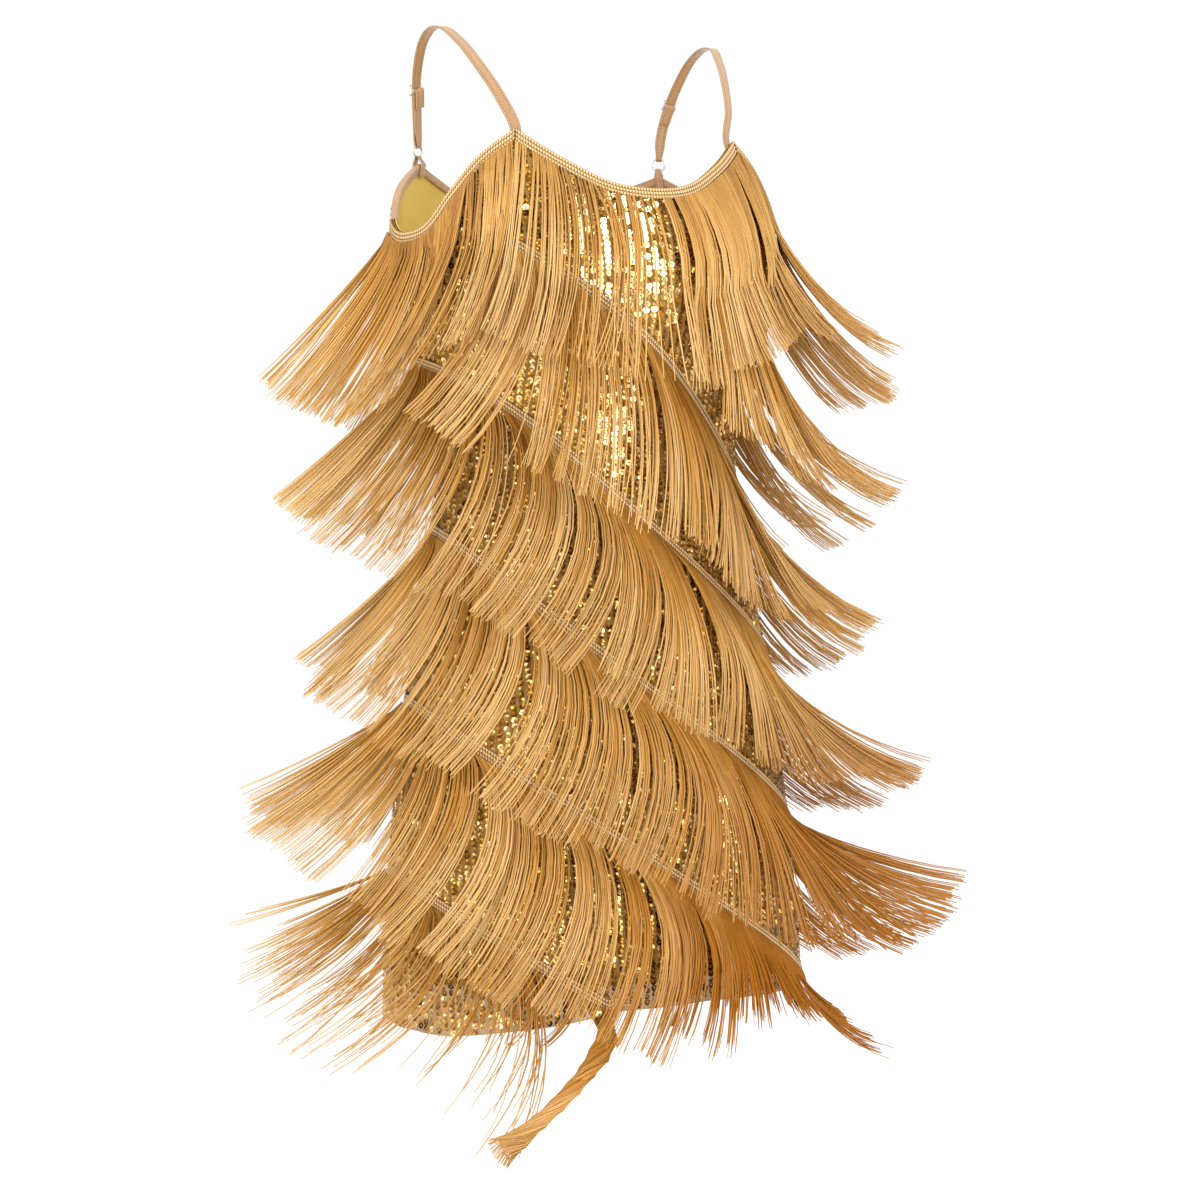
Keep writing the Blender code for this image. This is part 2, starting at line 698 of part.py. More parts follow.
def add_slider(side, mirror):
    """A bowed three-bar slider: outer bars over the strap, the middle bar inside its sewn end."""
    length, at = strap_line()
    slider_s = length - SLIDER_FROM_RING
    half = SLIDER_BAR / 2.0
    out = LAYER_OFFSET + STRAP_THICK / 2.0 + WIRE_GAP + half
    middle_bar = -(LAYER_OFFSET + half + SLIDER_BAR_GAP + STRAP_THICK / 2.0)
    rows = (
        (-half - SLIDER_WINDOW - SLIDER_BAR, out),
        (-half - SLIDER_WINDOW, out),
        (-half, middle_bar),
        (half, middle_bar),
        (half + SLIDER_WINDOW, out),
        (half + SLIDER_WINDOW + SLIDER_BAR, out),
    )
    inside = STRAP_WIDTH / 2.0 + RAIL_GAP
    columns = (-inside - SLIDER_RAIL, -inside, inside, inside + SLIDER_RAIL)
    points = []
    for face_side in (half, -half):
        for along, offset in rows:
            middle, face, across, _ = strap_frame(at, slider_s + along, length)
            for width in columns:
                points.append((middle + face * (offset + face_side) + across * width) * mirror)
    windows = {(1, 1), (3, 1)}
    faces = windowed_plate(len(rows), len(columns), windows)
    add_object(f"slider_{side}", "plastic", points, faces)


def windowed_plate(row_count, column_count, windows):
    """Faces of a flat plate of cells with some cells left open; the second half of its points is its back."""
    back = row_count * column_count

    def solid(r, c):
        return 0 <= r < row_count - 1 and 0 <= c < column_count - 1 and (r, c) not in windows

    faces = []
    for r in range(row_count - 1):
        for c in range(column_count - 1):
            if not solid(r, c):
                continue
            a = r * column_count + c
            b, d, e = a + 1, a + column_count, a + column_count + 1
            faces += [(a, b, e, d), (back + a, back + d, back + e, back + b)]
            sides = (((r - 1, c), a, b), ((r, c + 1), b, e), ((r + 1, c), e, d), ((r, c - 1), d, a))
            for neighbour, first, last in sides:
                if not solid(*neighbour):
                    faces.append((first, back + first, back + last, last))
    return faces


def closed_loop(sections):
    """Points and faces of a solid whose sections run round and meet again."""
    corners = len(sections[0])
    total = corners * len(sections)
    points = [p for section in sections for p in section]
    faces = []
    for i in range(len(sections)):
        for k in range(corners):
            a = i * corners + k
            b = i * corners + (k + 1) % corners
            faces.append((a, b, (b + corners) % total, (a + corners) % total))
    return points, faces


def turned_out(points, faces):
    """The faces, turned where the solid they close would be inside out."""
    volume = 0.0
    for face in faces:
        a = points[face[0]]
        for k in range(1, len(face) - 1):
            volume += float(np.dot(a, np.cross(points[face[k]], points[face[k + 1]])))
    return faces if volume > 0.0 else [tuple(reversed(f)) for f in faces]


def main():
    for thing in list(bpy.data.objects):
        bpy.data.objects.remove(thing)
    front, back = front_columns(), back_columns()
    lining_lift = -(SHELL_WALL + SEAM_GAP)
    add_panel("shell_front", "sequin", front, hem_z, 0.0, SHELL_WALL)
    add_panel("shell_back", "sequin", back, hem_z, 0.0, SHELL_WALL)
    add_panel("lining_front", "lining", front, lining_hem, lining_lift, LINING_WALL)
    add_panel("lining_back", "lining", back, lining_hem, lining_lift, LINING_WALL)
    for seed, (name, base, first, last) in enumerate(SPIRAL_BRAIDS):
        add_fringe(name, first, last, spiral_height(base), seed, roped=name == ROPED_BRAID)
    add_fringe("fringe_neckline", -CORNER_TURN + 1.2, CORNER_TURN - 1.2, top_z, 11)
    end = BINDING_START - BACK_CORNER_GAP
    add_fringe("fringe_armhole_right", CORNER_TURN + 0.2, end, top_z, 12)
    add_fringe("fringe_armhole_left", -end, -CORNER_TURN - 0.2, top_z, 13)
    add_binding("binding_armhole_right", BINDING_START, PEAK_TURN - BACK_CORNER_GAP)
    add_binding("binding_back_neck", PEAK_TURN + BACK_CORNER_GAP, 360.0 - PEAK_TURN - BACK_CORNER_GAP)
    add_binding("binding_armhole_left", 360.0 - PEAK_TURN + BACK_CORNER_GAP, 360.0 - BINDING_START)
    for side, mirror in (("left", np.array((-1.0, 1.0, 1.0))), ("right", np.array((1.0, 1.0, 1.0)))):
        add_strap(side, mirror)
        add_slider(side, mirror)
        add_ring(side, mirror)
        add_ring_loop(side, mirror)


main()
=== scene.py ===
"""Looks of the latin dance dress: sequin strung net over a knit lining, wound with long fringe.

Sizes are in millimetres until add_mesh turns them into metres; materials, lights and the camera
are in metres. +Z is up, the front faces -Y, and left and right are as the viewer sees the front:
left is -X. Turns are degrees round the body from the centre front, growing to the right.
"""

import math

import bpy
import numpy as np
from mathutils import Matrix

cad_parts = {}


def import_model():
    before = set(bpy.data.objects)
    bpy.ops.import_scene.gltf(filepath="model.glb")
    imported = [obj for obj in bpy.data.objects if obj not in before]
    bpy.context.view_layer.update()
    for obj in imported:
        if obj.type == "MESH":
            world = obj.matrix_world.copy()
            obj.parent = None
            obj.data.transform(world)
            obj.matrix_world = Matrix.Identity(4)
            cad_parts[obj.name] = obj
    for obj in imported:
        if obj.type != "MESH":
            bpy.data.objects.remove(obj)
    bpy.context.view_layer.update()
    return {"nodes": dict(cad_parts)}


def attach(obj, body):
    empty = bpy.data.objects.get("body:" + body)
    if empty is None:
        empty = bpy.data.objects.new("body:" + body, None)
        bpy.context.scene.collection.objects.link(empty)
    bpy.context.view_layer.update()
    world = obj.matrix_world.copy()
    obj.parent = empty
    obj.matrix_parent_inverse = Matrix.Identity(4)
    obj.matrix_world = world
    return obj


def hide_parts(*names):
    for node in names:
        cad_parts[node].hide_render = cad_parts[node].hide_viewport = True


MM = 0.001

# The body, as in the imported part
HEM_Z = -722.0
LINING_HEM_Z = -686.0
SIDE_Y = -9.0

# Columns: height, half width, depth in front, depth behind
BODY = np.array([
    (-60, 132, 78, 104), (-85, 138, 88, 105), (-115, 145, 99, 104), (-150, 150, 112, 101),
    (-190, 150, 119, 99), (-230, 138, 108, 93), (-270, 122, 94, 86), (-310, 116, 87, 84),
    (-350, 119, 89, 87), (-400, 127, 95, 96), (-460, 138, 102, 107), (-530, 149, 109, 118),
    (-610, 157, 117, 125), (-670, 162, 122, 128), (HEM_Z, 165, 126, 130),
])
CORNER_TURN = 40.0
CORNER_Z = -82.5
PEAK_TURN = 132.0
PEAK_Z = -92.0

# The top edge, the same on both sides. Columns: turn, height
TOP_EDGE = np.array([
    (0, -125), (12, -121), (24, -106), (CORNER_TURN, CORNER_Z), (53, -103), (62, -124), (72, -147),
    (82, -152), (97, -143), (115, -114), (PEAK_TURN, PEAK_Z), (150, -106), (165, -124), (180, -132),
])

# Soft creases in the cloth. Columns: turn, height, half length in degrees, half width in mm, depth in mm
CREASES = (
    (-62, -318, 22, 7, 0.9), (-50, -352, 18, 8, 0.7), (58, -300, 20, 7, 0.9), (66, -336, 24, 8, 0.8),
    (150, -322, 26, 8, 0.9), (205, -345, 24, 8, 0.8), (-86, -205, 10, 9, 0.8), (84, -212, 10, 9, 0.8),
)
HEM_WAVES = 22
HEM_WAVE_DEPTH = 1.6
HEM_WAVE_FROM = -650.0

# Where the hem rides up. Columns: turn, rise
HEM_RISE = np.array([
    (-180, 0), (-63, 0), (-31, 10), (-15, 18), (10, 18), (60, 7), (95, 3), (180, 0),
])

# Cloth layers under the outer face of the net
NET_WALL = 0.5
LINING_LIFT = -1.6
LINING_WALL = 0.9
PANEL_COLUMNS = 121
PANEL_ROWS = 100
PANEL_TURNS = (0.1, 179.9)

# Sequins, strung straight down the cloth
SEQUIN_ALONG = 4.1
SEQUIN_ACROSS = 5.9
SEQUIN_STRINGS = 45
SEQUIN_RADIUS = 2.35
SEQUIN_HOLE = 0.62
SEQUIN_SIDES = 8
SEQUIN_CUP = 0.42
SEQUIN_LIFT = 0.75
SEQUIN_SCATTER = 0.22
SEQUIN_EDGE = 2.4
SEQUIN_TOP_EDGE = 3.0
SEQUIN_ROLL = 8.0

# How sequins lie and shine: middle and spread
SEQUIN_SHADE = (0.55, 0.2)
SEQUIN_PITCH = (13, 7)

# Patches where the sequins all lie to the light and take the palest colour, a painted highlight; other sequins
# are held below it.
# Columns: turn, height, half width in turn, half height, how far they look up
GLINTS = (
    (-13, -172, 16, 56, 0.19), (-11, -284, 8, 42, 0.24), (19, -560, 9, 42, 0.37), (13, -448, 4, 17, 0.31),
    (-60, -470, 3, 11, 0.31),
)
GLINT_WAY = (-0.3, -0.92)
GLINT_SHARE = 0.75
GLINT_SPREAD = 0.045
GLINT_EDGE = (0.6, 1.1)
GLINT_CUP = 0.15
DULL_SHADE = 0.85

# Patches of sequins darkened as painted shade and tilted down. Columns: turn, height, half width in turn, half
# height
SHADED_SEQUIN_PATCHES = (
    (-35, -165, 4, 60), (46, -390, 12, 60), (52, -560, 14, 90), (44, -690, 20, 34), (-98, -330, 14, 60),
    (-62, -676, 9, 22), (-18, -692, 40, 20),
)
SHADED_SEQUIN_EDGE = (0.5, 1.2)
SHADED_SEQUIN_DARKENING = 0.35
SHADED_SEQUIN_PITCH = 21.0

# Fringe braids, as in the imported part
BRAID_HEIGHT = 8.0
BRAID_THICK = 1.5
BRAID_GAP = 0.7
SPIRAL_FALL = 0.344
SPIRAL_TILT = 86.0
HEM_CLEARANCE = 11.0
BINDING_START = 100.0
NECK_CORNER_GAP = 0.35
ARMHOLE_CORNER_GAP = 0.2
BACK_CORNER_GAP = 0.25

# Columns: node, height at the centre front, first and last turn
SPIRAL_BRAIDS = (
    ("fringe_tier_0", -134, 12, 249), ("fringe_tier_1", -232, -49, 269.5),
    ("fringe_tier_2", -356, -90, 269.5), ("fringe_tier_3", -480, -90, 269.5),
    ("fringe_tier_4", -604, -90, 74), ("fringe_tier_5", -728, -118, -13),
)

# Columns: share of a braid's height from its upper edge, share of its thickness there
BRAID_PROFILE = (
    (0, 0.35), (0.05, 0.8), (0.17, 1), (0.33, 0.82), (0.5, 1.05), (0.67, 0.82), (0.83, 1), (0.95, 0.8),
    (1, 0.3),
)

# Strands
STRAND = 150.0
STRAND_PITCH = 0.65
STRAND_SCATTER = 0.2
STRAND_ENDS = (0.6, 0.4)
STRAND_RADIUS = 0.73
STRAND_TAPER = ((0, 0.1, 0.6, 1), (0.8, 1, 0.88, 0.5))
STRAND_SIDES = 3
STRAND_STEPS = 9
STEP_POWER = 1.1
CHORD = 0.97
ALONG_POWER = 1.6
BULGE_POWER = 0.85
GATHER_POWER = 1.3
OUT_POWERS = (1.4, -0.3, 0.05)
DROP_POWERS = (1.1, -0.05, 0.12)
ROOT_RISE = 0.12
ROOT_DEPTHS = (0.2, 0.8)
ROOT_CLEARANCE = 3.4
TIP_CLEARANCE = 9.0
LAYERS = (0, 4.5)
LOCK_WIDTHS = (7, 26)
LOCK_GATHER = (0, 0.35)
LOCK_OUT_RANGE = (-0.1, 0.05)

# How much strands differ: whole locks, and the strands in one
OUT_SPREAD = (0.05, 0.018)
ALONG_SPREAD = (0.035, 0.016)
BULGE_SPREAD = (0.02, 0.008)
SHADE_SPREAD = (0.14, 0.2)
LENGTH_RANGES = ((0.95, 1.03), (0.975, 1.01))
RADIUS_RANGE = (0.85, 1.12)

# How the strands are swung round the body, as shares of their length. Columns: degrees from
# the side that is seen in the middle, reach outwards, reach along the braid, bulge along it
VIEW_TURN = -27.5
FLOW = np.array([
    (-180, 0.34, -0.08, 0.1), (-135, 0.5, -0.1, 0.06), (-90, 0.66, -0.16, 0.02),
    (-60, 0.52, -0.16, 0.06), (-35, 0.4, -0.13, 0.11), (-10, 0.33, -0.08, 0.14), (15, 0.31, -0.04, 0.17),
    (45, 0.34, -0.02, 0.2), (60, 0.42, -0.04, 0.16), (75, 0.54, -0.1, 0.06), (90, 0.64, -0.08, 0.02),
    (130, 0.52, -0.08, 0.05), (180, 0.34, -0.08, 0.1),
])

# How the height of its root changes a strand. Columns: height, extra outwards at the sides, share of the bulge
BY_HEIGHT = np.array([
    (-711, 0, 1), (-670, 0.1, 1), (-600, 0.22, 1), (-480, 0.12, 1), (-380, 0, 1), (-270, 0.05, 0.9),
    (-190, -0.06, 0.3), (-60, -0.08, 0.3),
])

# Worn and sparse stretches of each braid. Columns: first and last turn, shortest and longest
# share of the length, share of the strands kept, extra reach along
WORN = {
    "fringe_armhole_left": ((-53, -51.5, 1, 1, 0.1, 0),),
    "fringe_neckline": ((-36, -34.3, 1, 1, 0.1, 0), (-27, 6, 1, 1, 0.34, 0)),
    "fringe_tier_0": ((12, 19, 1, 1, 1, -0.17), (19, 26, 1, 1, 1, -0.1), (26, 34, 1, 1, 1, -0.04)),
    "fringe_tier_1": (
        (-50, -45, 1, 1, 1, -0.26), (-45, -40, 1, 1, 1, -0.19), (-40, -34, 1, 1, 1, -0.12),
        (-34, -27, 1, 1, 1, -0.06), (-20, -4, 1, 1, 0.4, 0),
    ),
    "fringe_tier_2": ((-74, -48, 1, 1, 0.75, 0), (8, 20, 1, 1, 0.7, 0)),
    "fringe_tier_3": ((4, 28, 1, 1, 0.65, 0),),
    "fringe_tier_4": (
        (-8, 6, 0.74, 0.84, 0.9, 0), (6, 20, 0.52, 0.62, 0.85, 0),
        (20, 36, 0.37, 0.47, 0.8, 0.05), (36, 66, 0.28, 0.38, 0.8, 0.1),
        (66, 75, 0.55, 0.78, 1, 0.35),
    ),
    "fringe_tier_5": (
        (-119, -88, 0.65, 0.95, 0.8, -0.12), (-88, -62, 0.6, 1, 0.72, -0.2),
        (-62, -52, 0.35, 0.9, 0.5, 0.02), (-52, -40, 0.4, 1, 0.6, 0.12),
        (-40, -30, 0.2, 0.45, 0.3, -0.2),
    ),
}

# The rope twisted out of the last strands of the lowest braid, and the short strands beside it
ROPED_BRAID = "fringe_tier_5"
ROPE_BRAID_LENGTH = 46.0
ROPE_MIDDLE = 9.0
ROPE_POINTS = 12
ROPE_OUTWARD = 0.3
ROPE_ALONG = -0.68
ROPE_TURNS = 1.25
ROPE_TURNS_FROM = 0.2
ROPE_JOIN = 0.26
ROPE_LENGTH = 0.92
ROPE_DEPTHS = (0.5, 1)
ROPE_RADII = ((0, 30), (0.22, 9.5), (0.45, 6.2), (0.72, 5.4), (0.86, 6.6), (1, 12))
BESIDE_REACH = 16.0
BESIDE_LENGTH = 0.3
BESIDE_ALONG = -0.3
BESIDE_GATHER = 0.2

# Curled loose strands of the lowest braid, from this turn on
LOOSE_FROM = -66.0
CURL = 6.0
CURL_RATE = 7.0
CURL_WAY = (0.9, 0.2, 0.3)

# Bindings
BIND_DROP = 5.4
BIND_WALL = 1.0
BIND_GAPS = (0.3, 0.45)
BIND_ROUND = 0.5
BIND_SHOULDER = 3.0
BIND_INSIDE_RISE = 0.2
CLOTH_DEPTH = 2.5

# The right strap's middle line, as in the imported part. Columns: x, y, z, turn of its width
STRAP_PATH = (
    (93, -63, -60, 27), (100, -47.5, -38, 23), (107.5, -26, -15, 14), (112.5, -8, -2.9, 6),
    (113.5, 8, -1.35, 0), (113, 24, -7, -6), (110.5, 41, -23, -14), (107, 53, -43, -22),
    (104.5, 58.5, -60, -28), (103.5, 60.5, -77.5, -32),
)
STRAP_WIDTH = 8.0
STRAP_THICK = 1.2
STRAP_SEWN_DEPTH = 12.0
STRAP_LIFT = -3.25
LAYER_OFFSET = 0.75
SLIDER_FROM_RING = 41.0
TAIL_LENGTH = 13.0
BUNCHED_WIDTH = 4.4
BUNCH_SAG = 0.45

# How the strap narrows to the ring. Columns: distance from the ring, width
STRAP_NARROWS = ((9, 7.6), (4.5, 6.2))

# Rings, sliders and loops
RING_INSIDE = 8.6
RING_WIRE = 1.3
RING_STEPS = 48
RING_SIDES = 12
WIRE_GAP = 0.2
SLIDER_BAR = 0.9
SLIDER_BAR_GAP = 0.4
SLIDER_ROUND = 0.28
LOOP_WIDTH = 6.0
LOOP_THICK = 1.0
LOOP_LIFTS = (-3.7, 0.6)
LOOP_DROPS = (9, 6.5, 4, 1.5, -1)
LOOP_STEPS = 10

# Corners of a band's section, the first half of them: shares of its half width and half thickness
BAND_HALF = ((-0.93, 1), (-0.3, 1.06), (0.3, 1.06), (0.93, 1), (1, 0.5), (1, -0.5))
BAND_CORNERS = BAND_HALF + tuple((-w, -t) for w, t in BAND_HALF)

# Colours of materials along their ramps. Columns: place, colour
STRAND_RAMP = ((0.18, (0.3, 0.112, 0.012)), (0.45, (0.6, 0.305, 0.062)), (0.8, (0.87, 0.59, 0.255)))
BRAID_RAMP = ((0.1, (0.19, 0.085, 0.022)), (0.42, (0.54, 0.34, 0.14)), (0.8, (0.82, 0.61, 0.35)))
# The palest stop is a painted highlight for the glint patches, the darkest mostly a painted shade
SEQUIN_RAMP = (
    (0.1, (0.12, 0.045, 0.006)), (0.4, (0.46, 0.22, 0.026)), (0.8, (0.95, 0.66, 0.24)), (1, (1, 0.88, 0.6)),
)
NET_RAMP = ((0.2, (0.64, 0.41, 0.14)), (0.9, (0.4, 0.21, 0.04)))
LINING_RAMP = ((0.1, (0.54, 0.385, 0.085)), (0.9, (0.76, 0.57, 0.155)))
ELASTIC_RAMP = ((0, (0.32, 0.172, 0.074)), (0.35, (0.395, 0.227, 0.104)))
METAL_RAMP = ((0.3, (0.3, 0.29, 0.28)), (0.7, (0.66, 0.64, 0.62)))
PLASTIC_RAMP = ((0.3, (0.62, 0.58, 0.53)), (0.7, (0.8, 0.78, 0.75)))
FLOOR_RAMP = ((0.2, (0.955, 0.955, 0.955)), (0.8, (0.975, 0.975, 0.975)))
# Colour of the fringe's painted shade low on the right and at the hem
PAINTED_SHADE_COLOUR = (0.44, 0.155, 0.012)
KHAKI = (0.56, 0.4, 0.19)
RIB_SHADOW = (0.3, 0.13, 0.02)
SEAM_THREAD = (0.17, 0.08, 0.035)

# Camera and studio
CAMERA_PLACE = (-0.83115, -1.60562, -0.33)
CAMERA_LENS = 72.0
CAMERA_SENSOR = 36.0
CAMERA_YAW = 27.74
CAMERA_PITCH = -2.86
CAMERA_ROLL = 0.85
FLOOR_Z = -1.3
FLOOR_SIZE = 60.0
WORLD_STRENGTH = 1.04
WHITE = (1, 1, 1)

# Area lights. Columns: name, place, aim, size, power, colour
LIGHTS = (
    ("key", (-0.15, -2.05, 0.8), (0, -0.1, -0.25), (0.5, 0.9), 15, (1, 0.97, 0.92)),
    ("low_front", (-1.3, -2.5, -0.7), (0, 0, -0.5), (2, 1.6), 26, WHITE),
    ("left", (-2.2, -1.2, 0.5), (0, 0, -0.4), (0.8, 1.4), 22, WHITE),
    ("right", (2.4, -1.3, 0.1), (0, 0, -0.4), (1, 1.6), 16, (1, 0.93, 0.84)),
    ("floor_fill", (0, 0, 2.6), (0.01, 0, -1.3), (3, 3), 35, WHITE),
)


# Reading the body

def curve_read(rows, at):
    """The columns after the first, at values of the first, by a curve through the rows."""
    rows = rows[np.argsort(rows[:, 0])]
    keys = rows[:, 0]
    slopes = np.gradient(rows[:, 1:], keys, axis=0)
    at = np.clip(np.asarray(at, float), keys[0], keys[-1])
    i = np.clip(np.searchsorted(keys, at) - 1, 0, len(keys) - 2)
    step = (keys[i + 1] - keys[i])[..., None]
    t = (at - keys[i])[..., None] / step
    blend = t * t * (3 - 2 * t)
    start = t * (1 - t) ** 2 * step
    end = -t * t * (1 - t) * step
    return rows[i, 1:] + (rows[i + 1, 1:] - rows[i, 1:]) * blend + slopes[i] * start + slopes[i + 1] * end


def body_point(turn, z):
    """The outer face of the cloth."""
    turn, z = np.broadcast_arrays(np.asarray(turn, float), np.asarray(z, float))
    half_width, front, back = np.moveaxis(curve_read(BODY, z), -1, 0)
    angle = np.radians(turn)
    depth = np.where(np.cos(angle) > 0, front, back)
    return np.stack([half_width * np.sin(angle), SIDE_Y - depth * np.cos(angle), z], axis=-1)


def unit(vectors):
    return vectors / np.maximum(np.linalg.norm(vectors, axis=-1, keepdims=True), 1e-9)


def way_round(turn, z, step=0.5):
    """The way round the body there, towards growing turns."""
    return body_point(turn + step, z) - body_point(turn - step, z)


def body_normal(turn, z):
    up = body_point(turn, np.minimum(z + 4, -60)) - body_point(turn, np.maximum(z - 4, HEM_Z))
    return unit(np.cross(way_round(turn, z), up))


def off_body(turn, z, lift):
    return body_point(turn, z) + body_normal(turn, z) * np.asarray(lift)[..., None]


def wrapped(turn):
    return (np.asarray(turn, float) + 180) % 360 - 180


def hem_z(turn):
    """The cloth's lower edge."""
    return HEM_Z + np.interp(wrapped(turn), HEM_RISE[:, 0], HEM_RISE[:, 1])


def lining_hem(turn):
    return np.full(np.shape(turn), LINING_HEM_Z)


def top_z(turn):
    """The top edge: smooth at the necks and armholes, sharp at the corners and peaks."""
    away = np.abs(wrapped(turn))
    corner = np.flatnonzero(TOP_EDGE[:, 0] == CORNER_TURN)[0]
    peak = np.flatnonzero(TOP_EDGE[:, 0] == PEAK_TURN)[0]
    neck, back = TOP_EDGE[:corner + 1], TOP_EDGE[peak:]
    neck = np.concatenate([neck[:0:-1] * (-1, 1), neck])
    back = np.concatenate([back, back[-2::-1] * (-1, 1) + (360, 0)])
    lines = [curve_read(rows, away)[..., 0] for rows in (neck, TOP_EDGE[corner:peak + 1], back)]
    return np.where(away < CORNER_TURN, lines[0], np.where(away < PEAK_TURN, lines[1], lines[2]))


def crease_depth(turn, z):
    """How far the cloth is pressed in by creases, and out by the waves of the hem."""
    depth = np.zeros(np.broadcast(turn, z).shape)
    for crease_turn, crease_z, half_length, half_width, most in CREASES:
        off = wrapped(turn - crease_turn) / half_length
        depth -= most * np.exp(-off ** 2 - ((z - crease_z + 6 * off ** 2) / half_width) ** 2)
    near_hem = np.clip((HEM_WAVE_FROM - z) / (HEM_WAVE_FROM - HEM_Z), 0, 1)
    return depth - HEM_WAVE_DEPTH * near_hem ** 2 * (0.5 + 0.5 * np.sin(np.radians(turn * HEM_WAVES)))


def on_cloth(turn, z, lift):
    """As off_body, on the creased cloth."""
    return off_body(turn, z, lift + crease_depth(turn, z))


# Meshes

def new_object(name, data):
    thing = bpy.data.objects.new(name, data)
    bpy.context.scene.collection.objects.link(thing)
    return thing


def add_mesh(name, points, faces, material, uv, smooth=True):
    """A mesh from points in millimetres and faces of as many corners each; uv is one pair for each point."""
    points = np.asarray(points, float).reshape(-1, 3)
    faces = np.asarray(faces, int)
    count, corners = faces.shape
    mesh = bpy.data.meshes.new(name)
    mesh.vertices.add(len(points))
    mesh.vertices.foreach_set("co", (points * MM).ravel())
    mesh.loops.add(count * corners)
    mesh.loops.foreach_set("vertex_index", faces.ravel())
    mesh.polygons.add(count)
    mesh.polygons.foreach_set("loop_start", np.arange(count) * corners)
    mesh.polygons.foreach_set("loop_total", np.full(count, corners))
    mesh.polygons.foreach_set("use_smooth", np.full(count, smooth))
    layer = mesh.uv_layers.new(name="UVMap")
    layer.data.foreach_set("uv", np.asarray(uv, float)[faces.ravel()].ravel())
    mesh.update(calc_edges=True)
    mesh.validate()
    mesh.materials.append(material)
    thing = new_object(name, mesh)
    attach(thing, "root")
    return thing


def grid_faces(rows, columns, closed=False):
    """Faces of a grid of points given row after row; closed joins the last column to the first."""
    r = np.arange(rows - 1)[:, None]
    c = np.arange(columns if closed else columns - 1)[None, :]
    following = (c + 1) % columns
    a, b = r * columns + c, r * columns + following
    return np.stack([a, b, b + columns, a + columns], axis=-1).reshape(-1, 4)


def circle(sides):
    """Cosine and sine of the corners of a ring."""
    return [(math.cos(math.tau * k / sides), math.sin(math.tau * k / sides)) for k in range(sides)]


def tube_through(sections, uv_across, uv_along):
    """Points, faces and uv of closed tubes: sections is (tubes, steps, corners, 3)."""
    tubes, steps, corners, _ = sections.shape
    one = grid_faces(steps, corners, closed=True)
    faces = (one[None] + (np.arange(tubes) * steps * corners)[:, None, None]).reshape(-1, 4)
    uv = np.stack([
        np.broadcast_to(uv_across, (tubes, steps, corners)),
        np.broadcast_to(uv_along, (tubes, steps, corners)),
    ], axis=-1)
    return sections.reshape(-1, 3), faces, uv.reshape(-1, 2)


# Materials

class Value:
    """A shader's number: arithmetic on it adds nodes."""

    def __init__(self, nodes, socket):
        self.nodes, self.socket = nodes, socket

    def __add__(self, other):
        return self.nodes.math("ADD", self, other)

    def __sub__(self, other):
        return self.nodes.math("SUBTRACT", self, other)

    def __rsub__(self, other):
        return self.nodes.math("SUBTRACT", other, self)

    def __mul__(self, other):
        return self.nodes.math("MULTIPLY", self, other)

    def __truediv__(self, other):
        return self.nodes.math("DIVIDE", self, other)

    def __abs__(self):
        return self.nodes.math("ABSOLUTE", self)

    def wave(self, length):
        return self.nodes.math("SINE", self * (math.tau / length))

    def clamped(self):
        self.socket.node.use_clamp = True
        return self

    def share(self, start, end):
        """0 up to the start, 1 from the end on."""
        return ((self - start) / (end - start)).clamped()


class Nodes:
    """A material's nodes, added one by one and joined by their inputs."""

    def __init__(self, name, roughness=0.5, metallic=0, **sockets):
        self.material = bpy.data.materials.new(name)
        self.material.use_nodes = True
        self.tree = self.material.node_tree
        self.shader = self.tree.nodes["Principled BSDF"]
        sockets.update(Roughness=roughness, Metallic=metallic)
        for key, value in sockets.items():
            self.shader.inputs[key.replace("_", " ")].default_value = value

    def place(self):
        return self.add("ShaderNodeTexCoord").outputs["Object"]

    def feed(self, value, socket):
        value = getattr(value, "socket", value)
        if hasattr(value, "is_output"):
            self.tree.links.new(value, socket)
        else:
            socket.default_value = value

    def add(self, kind, inputs=None, **settings):
        node = self.tree.nodes.new(kind)
        for key, value in settings.items():
            setattr(node, key, value)
        for key, value in (inputs or {}).items():
            self.feed(value, node.inputs[key])
        return node

    def math(self, operation, a, b=0):
        return Value(self, self.add("ShaderNodeMath", {0: a, 1: b}, operation=operation).outputs[0])

    def ramp(self, value, stops):
        """A colour ramp; each stop is a place and a colour."""
        node = self.add("ShaderNodeValToRGB", {"Fac": value})
        elements = node.color_ramp.elements
        while len(elements) < len(stops):
            elements.new(0.5)
        for element, (place, colour) in zip(elements, stops):
            element.position = place
            element.color = (*colour, 1)
        return node.outputs["Color"]

    def noise(self, scale, detail=2):
        inputs = {"Scale": scale, "Detail": detail, "Vector": self.place()}
        return Value(self, self.add("ShaderNodeTexNoise", inputs).outputs["Fac"])

    def parts(self, vector):
        return [Value(self, part) for part in self.add("ShaderNodeSeparateXYZ", {0: vector}).outputs]

    def uv(self):
        """The two parts of the uv map."""
        return self.parts(self.add("ShaderNodeUVMap", uv_map="UVMap").outputs["UV"])[:2]

    def mix(self, share, a, colour):
        """From a to the plain colour by the share."""
        inputs = {0: share, 6: a, 7: (*colour, 1)}
        return self.add("ShaderNodeMix", inputs, data_type="RGBA").outputs[2]

    def set(self, socket, value):
        self.feed(value, self.shader.inputs[socket])

    def bump(self, height, strength, distance):
        node = self.add("ShaderNodeBump", {"Height": height, "Strength": strength, "Distance": distance})
        self.set("Normal", node.outputs["Normal"])


